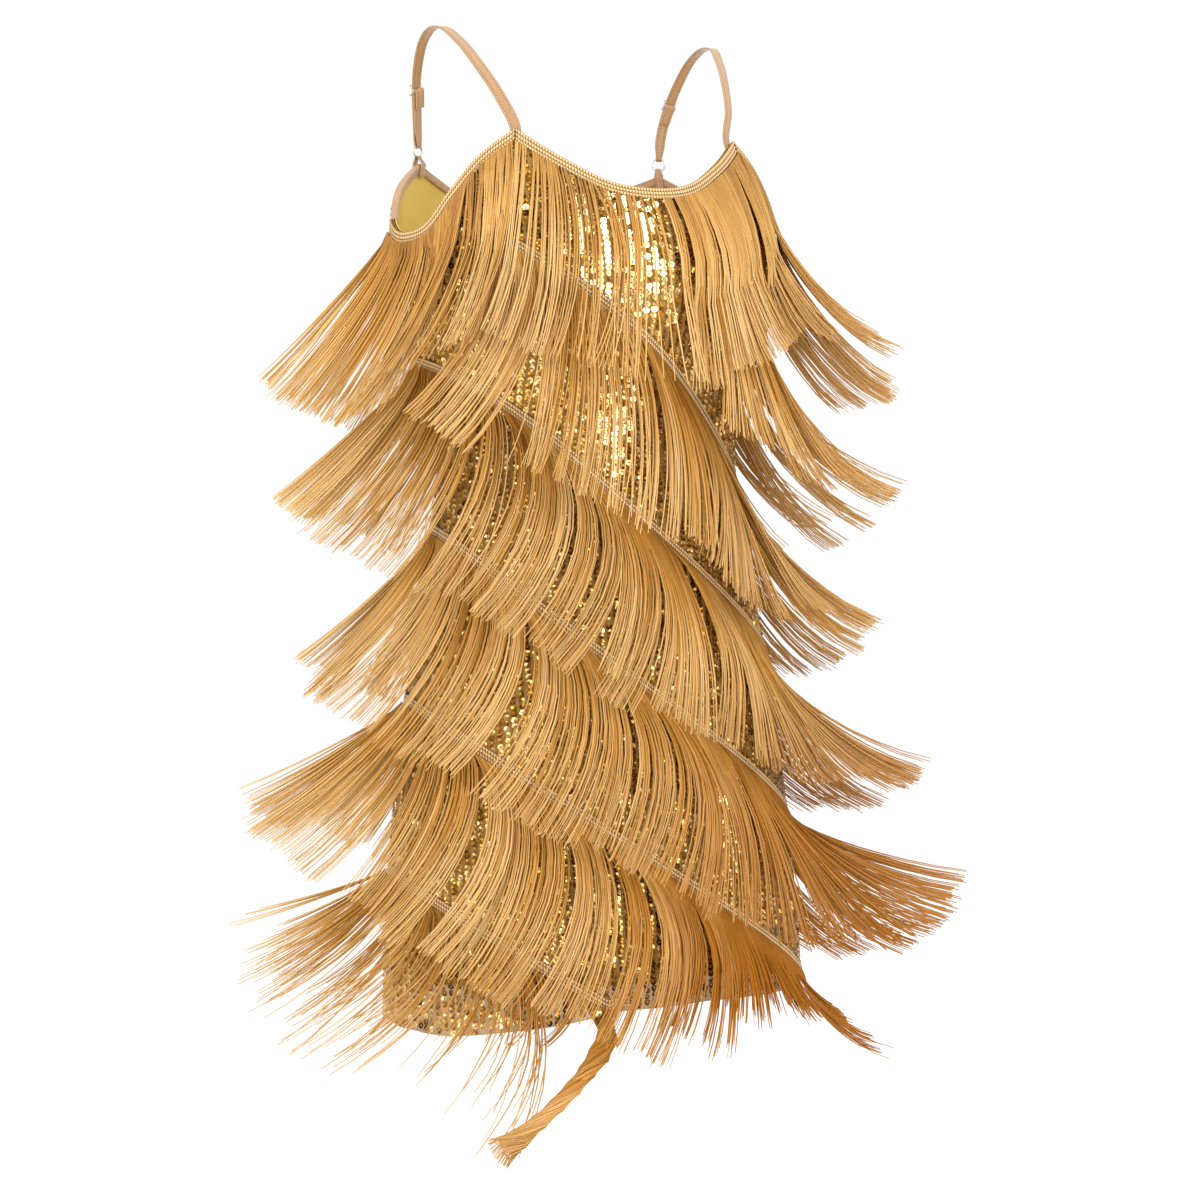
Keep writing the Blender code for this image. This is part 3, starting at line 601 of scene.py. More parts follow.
def strand_material():
    """Chainette cords: fine ribs across, roots darker (partly their colour, partly painted shade), a deep
    orange painted shade low on the right and at the hem, paler at the top.
    """
    n = Nodes("fringe_cord", roughness=0.5, Specular_IOR_Level=0.08)
    shade, along = n.uv()
    x, _, z = n.parts(n.place())
    rib = along.wave(1.25)
    # Darker at the roots, lighter at the tips: partly the cords' own colour, partly painted shade under the
    # tier above
    tone = shade * 0.54 + n.noise(9, 1) * 0.2 + (along.share(0, 110) - 0.15) * 0.44
    # Painted shade in deep orange, low on the right and at the hem
    painted_shade = x.share(-0.12, 0.06) * (z.share(-0.46, -0.6) * 0.62 + 0.16)
    painted_shade = (painted_shade + z.share(-0.65, -0.7) * 0.28).clamped()
    colour = n.mix(painted_shade, n.ramp(tone, STRAND_RAMP), PAINTED_SHADE_COLOUR)
    colour = n.mix(z.share(-0.24, -0.12) * 0.24, colour, KHAKI)
    n.set("Base Color", n.mix((1 - (rib + 1) * 0.5) * 0.36, colour, RIB_SHADOW))
    n.bump(rib, 0.5, 0.0002)
    return n.material


def braid_material():
    """A knitted braid: three rows of chain stitches along it, pale on top and dark between, the dark a painted
    shade in the grooves.
    """
    n = Nodes("fringe_braid", roughness=0.6, Specular_IOR_Level=0.1)
    across, along = n.uv()
    side = abs(n.math("FRACT", across * 3) - 0.5)
    crown = 1 - n.math("POWER", side * 2, 2)
    stitch = (along / 2.3 + side * 0.9).wave(1) * 0.5 + 0.5
    height = crown * (stitch * 0.85 + 0.15)
    # Painted shade: the lower the relief, the darker the colour
    n.set("Base Color", n.ramp(height, BRAID_RAMP))
    n.bump(height, 0.8, 0.0006)
    return n.material


def sequin_material():
    """Gold foil cups, from champagne to brown gold: the palest is a painted highlight, the darkest mostly a
    painted shade.
    """
    n = Nodes("sequin_gold", roughness=0.2, metallic=1)
    n.set("Base Color", n.ramp(n.uv()[0], SEQUIN_RAMP))
    n.set("Roughness", n.noise(60) * 0.16 + 0.12)
    n.bump(n.noise(700), 0.12, 0.0002)
    return n.material


def net_material():
    """Sheer net with its fine mesh and the threads that hold the sequins."""
    n = Nodes("gold_net", roughness=0.6, Specular_IOR_Level=0.1)
    across, along = n.uv()
    cells = [abs((across + along * sign).wave(2.6)) for sign in (1, -1)]
    solid = (1 - (n.math("MINIMUM", *cells) * 0.85).clamped()).clamped()
    n.set("Base Color", n.ramp(solid, NET_RAMP))
    n.set("Alpha", solid * 0.65 + 0.26)
    n.bump(solid, 0.4, 0.0002)
    return n.material


def lining_material():
    """Olive yellow stretch knit: fine wales down the cloth."""
    n = Nodes("lining_knit", roughness=0.75, Specular_IOR_Level=0.1)
    across, along = n.uv()
    knit = across.wave(0.9) * 0.35 + along.wave(0.7) * 0.15
    n.set("Base Color", n.ramp(knit + n.noise(30), LINING_RAMP))
    n.bump(knit, 0.5, 0.0002)
    return n.material


def elastic_material():
    """Satin faced elastic: ribs across and a sewn seam near each edge."""
    n = Nodes("satin_elastic", roughness=0.36, Sheen_Weight=0.3, Sheen_Roughness=0.4)
    across, along = n.uv()
    rib = along.wave(0.9)
    seam = n.math("LESS_THAN", abs(abs(across - 0.5) - 0.28), 0.045)
    thread = seam * n.math("GREATER_THAN", along.wave(2.6), -0.35)
    weave = rib * 0.05 + n.noise(40) * 0.4
    n.set("Base Color", n.mix(thread * 0.8, n.ramp(weave, ELASTIC_RAMP), SEAM_THREAD))
    n.bump(rib * 0.3 - thread * 1.2, 0.35, 0.0002)
    return n.material


def metal_material():
    n = Nodes("ring_metal", roughness=0.22, metallic=1)
    wear = n.noise(220)
    n.set("Base Color", n.ramp(wear, METAL_RAMP))
    n.set("Roughness", wear * 0.2 + 0.1)
    return n.material


def plastic_material():
    n = Nodes("slider_plastic", roughness=0.12, Coat_Weight=0.6, Transmission_Weight=0.55, IOR=1.49)
    n.set("Base Color", n.ramp(n.noise(90), PLASTIC_RAMP))
    return n.material


def floor_material():
    n = Nodes("studio_floor", roughness=0.9)
    n.set("Base Color", n.ramp(n.noise(1.5), FLOOR_RAMP))
    return n.material


# Cloth

def distances_along(line):
    """The distance from a line's first point to each of its points."""
    return np.concatenate([[0], np.cumsum(np.linalg.norm(np.diff(line, axis=0), axis=1))])


def arc_table(z, first):
    """Turns from a panel's middle to its side, with the distance round the body to each."""
    turns = np.linspace(first, first + 90, 91)
    return turns, distances_along(body_point(turns, np.full(91, z)))


def panel_layer(turns, hem_at, lift):
    """A grid of points over a panel, top edge first, with its distances round and down as uv."""
    top = top_z(turns)
    shares = np.linspace(0, 1, PANEL_ROWS)[:, None]
    z = top[None, :] + (hem_at(turns) - top)[None, :] * shares
    grid = on_cloth(np.broadcast_to(turns, z.shape), z, np.full(z.shape, lift))
    round_it = np.linalg.norm(np.diff(grid, axis=1), axis=2)
    across = np.concatenate([np.zeros((PANEL_ROWS, 1)), np.cumsum(round_it, axis=1)], axis=1)
    across -= across[:, [len(turns) // 2]]
    return grid, np.stack([across, -z], axis=-1)


def add_panel(name, first, hem_at, lift, wall, material):
    """A thin shell of cloth between the side seams, with its flat size and outer area in metres."""
    turns = np.linspace(first + PANEL_TURNS[0], first + PANEL_TURNS[1], PANEL_COLUMNS)
    outer, uv = panel_layer(turns, hem_at, lift)
    inner, _ = panel_layer(turns, hem_at, lift - wall)
    rows, columns = PANEL_ROWS, PANEL_COLUMNS
    count = rows * columns
    grid = np.arange(count).reshape(rows, columns)
    border = np.concatenate([grid[0], grid[1:, -1], grid[-1, -2::-1], grid[-2:0:-1, 0]])
    after = np.roll(border, -1)
    rim = np.stack([border, border + count, after + count, after], axis=-1)
    face = grid_faces(rows, columns)
    faces = np.concatenate([face[:, ::-1], face + count, rim])
    points = np.concatenate([outer.reshape(-1, 3), inner.reshape(-1, 3)])
    thing = add_mesh(name, points, faces, material, np.concatenate([uv.reshape(-1, 2)] * 2))
    flat = tuple(float(uv[..., k].max() - uv[..., k].min()) * MM for k in (0, 1))
    return thing, flat, grid_area(outer)


def grid_area(grid):
    """Area in square metres of a grid of points in millimetres."""
    a = grid[1:, :-1] - grid[:-1, :-1]
    b = grid[:-1, 1:] - grid[:-1, :-1]
    return float(np.linalg.norm(np.cross(a, b), axis=-1).sum()) * MM * MM


def sequin_places(first, rng):
    """Turn and height of every sequin of a panel whose left seam is at the first turn."""
    middle = first + 90
    turns, heights = [], []
    strings = np.arange(-SEQUIN_STRINGS, SEQUIN_STRINGS + 1)
    phase = rng.uniform(0, SEQUIN_ALONG, len(strings))
    for z in np.arange(CORNER_Z - 2, HEM_Z + 3, -SEQUIN_ALONG):
        table, distances = arc_table(z, middle)
        reach = np.abs(strings) * SEQUIN_ACROSS
        kept = reach < distances[-1] - SEQUIN_EDGE
        offset = np.interp(reach[kept], distances, table) - middle
        turns.append(middle + np.sign(strings[kept]) * offset)
        heights.append(z - phase[kept])
    turns, heights = np.concatenate(turns), np.concatenate(heights)
    kept = (heights < top_z(turns) - SEQUIN_TOP_EDGE) & (heights > hem_z(turns) + SEQUIN_EDGE)
    return turns[kept], heights[kept]


def in_patch(turn, z, patch, edge, rng):
    """Which places lie in a patch; its edge is ragged."""
    place, height, half_turn, half_height = patch[:4]
    off = np.hypot((wrapped(turn) - place) / half_turn, (z - height) / half_height)
    return off < rng.uniform(*edge, len(turn))


def add_sequins(name, first, material, rng):
    """Cupped rings of eight sides, each tilted a little on its thread."""
    turn, z = sequin_places(first, rng)
    count = len(turn)
    normal = body_normal(turn, z)
    down = unit(on_cloth(turn, z - 2, np.zeros(count)) - on_cloth(turn, z, np.zeros(count)))
    across = np.cross(down, normal)
    shade = np.clip(rng.normal(*SEQUIN_SHADE, count), 0, 1)
    pitch = SEQUIN_PITCH[0] + rng.normal(0, SEQUIN_PITCH[1], count)
    # Painted shade: the sequins in these patches are darkened, and tilted down
    for patch in SHADED_SEQUIN_PATCHES:
        near = in_patch(turn, z, patch, SHADED_SEQUIN_EDGE, rng)
        shade = np.where(near, shade * SHADED_SEQUIN_DARKENING, shade)
        pitch = np.where(near, pitch - SHADED_SEQUIN_PITCH, pitch)
    pitch = np.radians(pitch)[:, None]
    roll = np.radians(rng.normal(0, SEQUIN_ROLL, count))[:, None]
    facing = unit(normal * np.cos(pitch) - down * np.sin(pitch) + across * np.sin(roll))
    cup = np.full((count, 1), SEQUIN_CUP)
    for patch in GLINTS:
        near = in_patch(turn, z, patch, GLINT_EDGE, rng)
        near &= rng.uniform(0, 1, count) < GLINT_SHARE
        way = np.array((*GLINT_WAY, patch[4])) + rng.normal(0, GLINT_SPREAD, (count, 3))
        facing = np.where(near[:, None], unit(way), facing)
        cup = np.where(near[:, None], SEQUIN_CUP * GLINT_CUP, cup)
        # Painted highlight: the glint patches take the palest colour, the rest are held below it
        shade = np.where(near, 1, np.minimum(shade, DULL_SHADE))
    across = unit(across - facing * (across * facing).sum(1, keepdims=True))
    along = np.cross(facing, across)
    centre = on_cloth(turn, z, np.full(count, SEQUIN_LIFT))
    centre = centre + across * rng.normal(0, SEQUIN_SCATTER, (count, 1))
    corners = [
        centre + (across * c + along * s) * radius + facing * rise
        for radius, rise in ((SEQUIN_RADIUS, cup), (SEQUIN_HOLE, 0)) for c, s in circle(SEQUIN_SIDES)
    ]
    rings = np.stack(corners, axis=1).reshape(count, 2, SEQUIN_SIDES, 3)
    points, faces, uv = tube_through(rings, shade[:, None, None], 0)
    return add_mesh(name, points, faces, material, uv, smooth=False)


# Fringe

def spiral_height(base):
    def height(turn):
        turn = np.asarray(turn, float)
        z = base - SPIRAL_FALL * turn - SPIRAL_TILT * np.sin(np.radians(turn))
        return np.maximum(z, hem_z(turn) + HEM_CLEARANCE)
    return height


class Braid:
    """A braid's line on the body: its turns at even distances along its upper edge."""

    def __init__(self, first, last, height_at):
        self.samples, self.height_at = np.linspace(first, last, 1500), height_at
        self.travelled = distances_along(body_point(self.samples, height_at(self.samples)))
        self.length = float(self.travelled[-1])

    def turn_at(self, s):
        return np.interp(s, self.travelled, self.samples)

    def edges(self, s):
        """Turn, upper height, lower height, normal and lift at distances along it."""
        turn = self.turn_at(s)
        high = self.height_at(turn)
        level = np.linalg.norm(way_round(turn, high)[..., :2], axis=-1)
        slope = (self.height_at(turn + 0.5) - self.height_at(turn - 0.5)) / level
        low = high - BRAID_HEIGHT * np.hypot(1, slope)
        normal = body_normal(turn, (high + low) / 2)
        bulge = np.zeros(np.shape(s))
        top, bottom = body_point(turn, high), body_point(turn, low)
        for share in (0.25, 0.5, 0.75):
            z = high + (low - high) * share
            off = body_point(turn, z) - (top + (bottom - top) * share)
            bulge = np.maximum(bulge, (off * normal).sum(-1))
        return turn, high, low, normal, BRAID_GAP + bulge


def braid_mesh(braid):
    """Points, faces and uv of a braid."""
    s = np.linspace(0, braid.length, max(4, int(braid.length / 3)))
    turn, high, low, normal, lift = braid.edges(s)
    top = body_point(turn, high) + normal * lift[:, None]
    bottom = body_point(turn, low) + normal * lift[:, None]
    corners = [top + (bottom - top) * share + normal * BRAID_THICK * thick for share, thick in BRAID_PROFILE]
    corners += [bottom, top]
    across = np.array([share for share, _ in BRAID_PROFILE] + [1, 0])
    points, faces, uv = tube_through(np.stack(corners, axis=1)[None], across[None, None, :], s[None, :, None])
    columns = len(corners)
    last = len(points) - columns
    caps = []
    for k in range(columns // 2 - 1):
        caps.append((k, k + 1, columns - 2 - k, columns - 1 - k))
        caps.append((last + columns - 1 - k, last + columns - 2 - k, last + k + 1, last + k))
    return points, np.concatenate([faces, np.array(caps)]), uv


def lock_numbers(s, rng):
    """For each strand: the number of its lock, and its distance from the lock's middle."""
    edges = [-5]
    while edges[-1] < s[-1] + 30:
        edges.append(edges[-1] + rng.uniform(*LOCK_WIDTHS))
    edges = np.array(edges)
    number = np.searchsorted(edges, s) - 1
    middle = (edges[number] + edges[number + 1]) / 2
    return number, s - middle, len(edges)


def strand_flow(turn, z):
    """Reach outwards, reach along and bulge of strands with their roots there."""
    seen = wrapped(turn - VIEW_TURN)
    outward, along, bulge = (np.interp(seen, FLOW[:, 0], FLOW[:, k]) for k in (1, 2, 3))
    beside = np.sin(np.radians(seen)) ** 4
    sideways, rounder = (np.interp(z, BY_HEIGHT[:, 0], BY_HEIGHT[:, k]) for k in (1, 2))
    return outward + beside * sideways, along, bulge * rounder


def out_way(turn, rise=0):
    """The way straight out from the body's axis for each turn."""
    angle = np.radians(turn)
    return np.stack([np.sin(angle), -np.cos(angle), np.full(len(turn), rise)], axis=-1)[:, None]


def strand_paths(roots, turn, length, outward, along, bulge, shift, lift, steps):
    """Middle points of strands: (strands, steps, 3)."""
    t = steps[None, :]
    normal = out_way(turn)
    tangent = normal[..., (1, 0, 2)] * (-1, 1, 1)
    outward, along, bulge = outward[:, None], along[:, None], bulge[:, None]
    drop = np.sqrt(np.maximum(CHORD ** 2 - outward ** 2 - along ** 2, 0.1))
    beside = np.sin(np.radians(turn - VIEW_TURN))[:, None]
    left, right = np.clip(-beside, 0, 1) ** 2, np.clip(beside, 0, 1) ** 2
    out_power, drop_power = (middle + l * left + r * right for middle, l, r in (OUT_POWERS, DROP_POWERS))
    out = outward * t ** out_power
    side = along * t ** ALONG_POWER + bulge * np.sin(math.pi * t ** BULGE_POWER)
    down = drop * (1 - (1 - t) ** drop_power)
    length, lift = length[:, None], lift[:, None]
    points = roots[:, None] + normal * (out * length + lift * t)[..., None]
    points = points + tangent * (side * length + shift[:, None] * t ** GATHER_POWER)[..., None]
    points[..., 2] -= down * length
    return clear_of_body(points, ROOT_CLEARANCE + (TIP_CLEARANCE - ROOT_CLEARANCE) * t + lift * 0.6 * t)


def clear_of_body(points, gap):
    """The points, moved out where they come nearer to the body than the gap."""
    half_width, front, back = np.moveaxis(curve_read(BODY, points[..., 2]), -1, 0)
    x, y = points[..., 0], points[..., 1] - SIDE_Y
    depth = np.where(y > 0, back, front)
    size = np.maximum(np.hypot(x / half_width, y / depth), 1e-6)
    radius = np.hypot(x, y)
    needed = radius / size + gap
    share = np.where((radius < needed) & (points[..., 2] >= HEM_Z), needed / radius, 1)
    return np.stack([x * share, SIDE_Y + y * share, points[..., 2]], axis=-1)


def strand_tubes(paths, turn, radius, shade, lengths):
    """Three sided tubes along strand paths, thinner at their tips."""
    ahead = unit(np.gradient(paths, axis=1))
    side = unit(np.cross(ahead, out_way(turn, 0.25)))
    other = np.cross(ahead, side)
    shares = np.linspace(0, 1, paths.shape[1])
    thick = radius[:, None, None] * np.interp(shares, *STRAND_TAPER)[None, :, None]
    sections = [paths + (side * c + other * s) * thick for c, s in circle(STRAND_SIDES)]
    along = shares[None, :, None] * lengths[:, None, None]
    return tube_through(np.stack(sections, axis=2), shade[:, None, None], along)


def rope_paths(roots, tip_path, steps, rng):
    """Strands that leave their own roots, then wind round the rope's middle line."""
    count = len(roots)
    t = np.linspace(0, 1, steps)
    middle = curve_read(np.column_stack([np.linspace(0, 1, len(tip_path)), tip_path]), t)
    ahead = unit(np.gradient(middle, axis=0))
    side = unit(np.cross(ahead, np.array((0, 0, 1))))
    other = np.cross(ahead, side)
    radii = np.interp(t, *np.array(ROPE_RADII).T)
    start = np.linspace(0, math.tau, count, endpoint=False)
    depth = np.sqrt(rng.uniform(*ROPE_DEPTHS, count))
    wound = np.clip((t - ROPE_TURNS_FROM) / (1 - ROPE_TURNS_FROM), 0, 1)
    angle = start[:, None] + math.tau * ROPE_TURNS * wound[None, :]
    reach = depth[:, None] * radii[None, :]
    around = side[None] * (np.cos(angle) * reach)[..., None] + other[None] * (np.sin(angle) * reach)[..., None]
    join = np.clip(t / ROPE_JOIN, 0, 1)
    join = (join * join * (3 - 2 * join))[None, :, None]
    return roots[:, None] * (1 - join) + (middle[None] + around) * join


def standing_strands(node, braid, rng):
    """Distances along the braid of the strands that are left, their wear and their extra reach."""
    s = np.arange(STRAND_ENDS[0], braid.length - STRAND_ENDS[1], STRAND_PITCH)
    s = s + rng.uniform(-STRAND_SCATTER, STRAND_SCATTER, len(s))
    turn = braid.turn_at(s)
    shorter, kept, pulled = np.ones(len(s)), np.ones(len(s)), np.zeros(len(s))
    for start, end, short, long, share, along in WORN.get(node, ()):
        here = (turn > start) & (turn < end)
        shorter = np.where(here, rng.uniform(short, long, len(s)), shorter)
        kept = np.where(here, share, kept)
        pulled = np.where(here, along, pulled)
    kept = rng.uniform(0, 1, len(s)) < kept
    return s[kept], shorter[kept], pulled[kept]


def twist_rope(paths, braid, s, strands, off_middle, steps, rng):
    """Curl the loose strands, shorten those beside the rope and wind the last ones into it."""
    roots, turn, length, outward, along, bulge, _, layer = strands
    loose = (braid.turn_at(s) > LOOSE_FROM)[:, None, None]
    curl = CURL * steps ** 2 * np.sin(CURL_RATE * steps + rng.uniform(0, math.tau, (len(s), 1)))
    paths = paths + np.where(loose, curl[..., None] * np.array(CURL_WAY), 0)
    start = braid.length - ROPE_BRAID_LENGTH
    tail = s > start
    beside = (s > start - BESIDE_REACH) & ~tail
    rows = (roots, turn, length * BESIDE_LENGTH, outward, along + BESIDE_ALONG, bulge)
    rows += (-off_middle * BESIDE_GATHER, layer)
    paths[beside] = strand_paths(*(row[beside] for row in rows), steps)
    one = np.flatnonzero(s > braid.length - ROPE_MIDDLE)[:1]
    none = np.zeros(1)
    middle = strand_paths(
        roots[one], turn[one], np.array([STRAND * ROPE_LENGTH]), np.array([ROPE_OUTWARD]),
        np.array([ROPE_ALONG]), none, none, none, np.linspace(0, 1, ROPE_POINTS),
    )[0]
    paths[tail] = rope_paths(roots[tail], middle, len(steps), rng)
    return paths


def add_fringe(node, braid, materials, seed):
    """The braid and its strands as two pieces that stand for the node."""
    rng = np.random.default_rng(seed)
    s, shorter, pulled = standing_strands(node, braid, rng)
    count = len(s)
    turn, high, low, normal, lift = braid.edges(s)
    roots = body_point(turn, low) + normal * (lift + BRAID_THICK * rng.uniform(*ROOT_DEPTHS, count))[:, None]
    roots += (body_point(turn, high) - body_point(turn, low)) * ROOT_RISE
    number, off_middle, locks = lock_numbers(s, rng)

    def spread(sizes):
        """One draw for each lock and one for each strand."""
        return rng.normal(0, sizes[0], locks)[number] + rng.normal(0, sizes[1], count)

    lock_along = rng.normal(0, ALONG_SPREAD[0], locks)[number]
    lock_out = np.clip(rng.normal(0, OUT_SPREAD[0], locks), *LOCK_OUT_RANGE)[number]
    lock_length = rng.uniform(*LENGTH_RANGES[0], locks)[number]
    gather = rng.uniform(*LOCK_GATHER, locks)[number]
    outward, along, bulge = strand_flow(turn, low)
    outward = outward + lock_out + rng.normal(0, OUT_SPREAD[1], count)
    along = along + pulled + lock_along + rng.normal(0, ALONG_SPREAD[1], count)
    bulge = bulge + spread(BULGE_SPREAD)
    length = STRAND * lock_length * rng.uniform(*LENGTH_RANGES[1], count) * shorter
    layer = rng.uniform(*LAYERS, count)
    steps = np.linspace(0, 1, STRAND_STEPS + 1) ** STEP_POWER
    strands = (roots, turn, length, outward, along, bulge, -off_middle * gather, layer)
    paths = strand_paths(*strands, steps)
    if node == ROPED_BRAID:
        paths = twist_rope(paths, braid, s, strands, off_middle, steps, rng)
    radius = STRAND_RADIUS * rng.uniform(*RADIUS_RANGE, count)
    shade = np.clip(0.5 + spread(SHADE_SPREAD), 0, 1)
    points, faces, uv = strand_tubes(paths, turn, radius, shade, length)
    tubes = add_mesh(node + "_strands", points, faces, materials["strand"], uv)
    points, faces, uv = braid_mesh(braid)
    band = add_mesh(node + "_braid", points, faces, materials["braid"], uv)
    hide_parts(node)


# Elastic parts

def add_elastic(name, points, faces, material, uv, sharp):
    """An elastic piece that stands for the node of its name, sharp at edges over this angle."""
    thing = add_mesh(name, points, faces, material, uv)
    thing.data.set_sharp_from_angle(angle=math.radians(sharp))
    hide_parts(name)


def add_binding(name, first, last, material):
    """Fold-over elastic round the cloth's edge, rounded at the fold."""
    turn = np.linspace(first, last, max(8, int(last - first)))
    edge = top_z(turn)
    outer, inner = BIND_GAPS[0], -CLOTH_DEPTH - BIND_GAPS[1]
    low = edge - BIND_DROP
    middle = (outer + inner) / 2
    fold = (outer - inner) / 2 + BIND_WALL

    def at(z, lift, rise=0):
        return off_body(turn, z, lift) + (0, 0, rise)

    # Up the outer face, over the fold, down the inner face and back up beside the cloth
    corners = [at(low, outer), at(low, outer + BIND_WALL * 0.8), at(low + BIND_ROUND, outer + BIND_WALL)]
    corners += [at(edge - BIND_SHOULDER, outer + BIND_WALL * 1.1)]
    for k in range(5):
        angle = math.pi * k / 4
        corners.append(at(edge, middle + fold * math.cos(angle), 0.3 + BIND_WALL * math.sin(angle)))
    corners += [at(edge - BIND_SHOULDER, inner - BIND_WALL), at(low + BIND_ROUND, inner - BIND_WALL)]
    corners += [at(low, inner - BIND_WALL * 0.8), at(low, inner)]
    corners += [at(edge, inner, BIND_INSIDE_RISE), at(edge, outer, BIND_INSIDE_RISE)]
    across = np.array([0.02, 0.05, 0.1, 0.5, 0.8, 0.9, 1, 0.9, 0.8, 0.5, 0.1, 0.05, 0.02, 1, 1])
    section = np.stack(corners, axis=1)[None]
    along = distances_along(section[0, :, 6])
    points, faces, uv = tube_through(section, across[None, None], along[None, :, None])
    last_row = len(points) - len(corners)
    ends = [(0, 1, 2), (0, 3, 4), (14, 4, 5), (14, 6, 7), (14, 8, 13), (13, 8, 9), (12, 9, 10)]
    ends += [(0, 2, 3), (0, 4, 14), (14, 5, 6), (14, 7, 8), (13, 9, 12), (12, 10, 11)]
    triangles = np.array(ends + [tuple(last_row + k for k in reversed(end)) for end in ends])
    split = np.concatenate([faces[:, [0, 1, 2]], faces[:, [0, 2, 3]], triangles])
    add_elastic(name, points, split, material, uv, 50)


def strap_line():
    """The length of the right strap's middle line, from where it is sewn in to the ring, and its reader."""
    lift = STRAP_LIFT - STRAP_THICK / 2 - LAYER_OFFSET
    knots = []
    for z in (CORNER_Z - STRAP_SEWN_DEPTH, CORNER_Z + 2):
        across = way_round(CORNER_TURN, z, 1)
        turn = math.degrees(math.atan2(across[1], across[0]))
        knots.append((*off_body(CORNER_TURN, z, lift), turn))
    knots = np.array(knots + list(STRAP_PATH))
    along = distances_along(knots[:, :3])
    rows = np.column_stack([along, knots])
    return float(along[-1]), lambda s: curve_read(rows, s)


def strap_frame(at, s, length):
    """The strap's middle point, face, width and way ahead at a distance along it."""
    near = min(s, length)
    ahead = unit(at(near)[:3] - at(near - 2)[:3]) if near > 2 else unit(at(2)[:3] - at(0)[:3])
    middle = at(near)[:3] + ahead * (s - near)
    turn = math.radians(at(near)[3])
    width = np.array((math.cos(turn), math.sin(turn), 0))
    width = unit(width - ahead * np.dot(width, ahead))
    return middle, np.cross(width, ahead), width, ahead


def add_band(name, line, thick, mirror, material):
    """A flat elastic with soft edges through points that each come with their width way and width."""
    sections = []
    for i, (point, across, width) in enumerate(line):
        ahead = unit(line[min(i + 1, len(line) - 1)][0] - line[max(i - 1, 0)][0])
        across = unit(across - ahead * np.dot(across, ahead))
        out = np.cross(across, ahead) * thick / 2
        side = across * width / 2
        sections.append([(point + side * w + out * t) * mirror for w, t in BAND_CORNERS])
    sections = np.array(sections)[None]
    along = distances_along(np.array([row[0] for row in line]))
    across_uv = np.array([0.5 + 0.5 * w for w, _ in BAND_CORNERS])
    points, faces, uv = tube_through(sections, across_uv[None, None], along[None, :, None])
    if mirror[0] < 0:
        faces = faces[:, ::-1]
    count = len(BAND_CORNERS)
    last = len(points) - count
    cap = [(k, k + 1, count - 2 - k, count - 1 - k) for k in range(count // 2 - 1)]
    caps = np.array(cap + [tuple(last + k for k in reversed(c)) for c in cap])
    add_elastic(name, points, np.concatenate([faces, caps]), material, uv, 60)


def half_circle(centre, radius, first, last, steps=12):
    places = []
    for k in range(steps + 1):
        angle = math.radians(first + (last - first) * k / steps)
        places.append((centre[0] + radius * math.cos(angle), centre[1] + radius * math.sin(angle)))
    return places


def add_strap(side, mirror, material):
    """The strap from the front corner to the ring, back through it and round the slider's bar."""
    length, at = strap_line()
    slider_s = length - SLIDER_FROM_RING
    ring_turn = RING_WIRE / 2 + WIRE_GAP + STRAP_THICK / 2
    bar_turn = SLIDER_BAR / 2 + SLIDER_BAR_GAP + STRAP_THICK / 2
    (far, wide), (near, narrow) = STRAP_NARROWS
    flat = [*(slider_s + k * 6 for k in range(4)), length - 14]
    places = [(s, LAYER_OFFSET, STRAP_WIDTH) for s in (*np.linspace(0, slider_s - 8, 60), *flat)]
    places.append((length - far, LAYER_OFFSET + 0.1, wide))
    places.append((length - near, ring_turn - 0.1, narrow))
    places += [(*p, BUNCHED_WIDTH) for p in half_circle((length + BUNCH_SAG, 0), ring_turn, 90, -90)]
    places.append((length - near, 0.1 - ring_turn, narrow))
    places.append((length - far, -LAYER_OFFSET - 0.1, wide))
    places += [(s, -LAYER_OFFSET, STRAP_WIDTH) for s in flat[:0:-1]]
    bar = (slider_s, -LAYER_OFFSET - bar_turn)
    places += [(*p, STRAP_WIDTH) for p in half_circle(bar, bar_turn, 90, 270)]
    places.append((slider_s + TAIL_LENGTH, bar[1] - bar_turn, STRAP_WIDTH))
    line = []
    for s, offset, width in places:
        middle, face, across, _ = strap_frame(at, s, length)
        line.append((middle + face * offset, across, width))
    add_band(f"strap_{side}", line, STRAP_THICK, mirror, material)


def ring_frame():
    """The ring's middle, face, width way, way ahead and radius."""
    length, at = strap_line()
    middle, face, across, ahead = strap_frame(at, length, length)
    radius = (RING_INSIDE + RING_WIRE) / 2
    return middle + ahead * radius, face, across, ahead, radius


def add_ring(side, mirror, material):
    centre, face, across, ahead, radius = ring_frame()
    wire = RING_WIRE / 2
    spokes = [ahead * c + across * s for c, s in circle(RING_STEPS)]
    sections = [
        [(centre + spoke * (radius + wire * c) + face * wire * s) * mirror for c, s in circle(RING_SIDES)]
        for spoke in spokes + spokes[:1]
    ]
    points, faces, uv = tube_through(np.array(sections)[None], 0, 0)
    thing = add_mesh(f"ring_{side}", points, faces if mirror[0] > 0 else faces[:, ::-1], material, uv)
    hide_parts(f"ring_{side}")


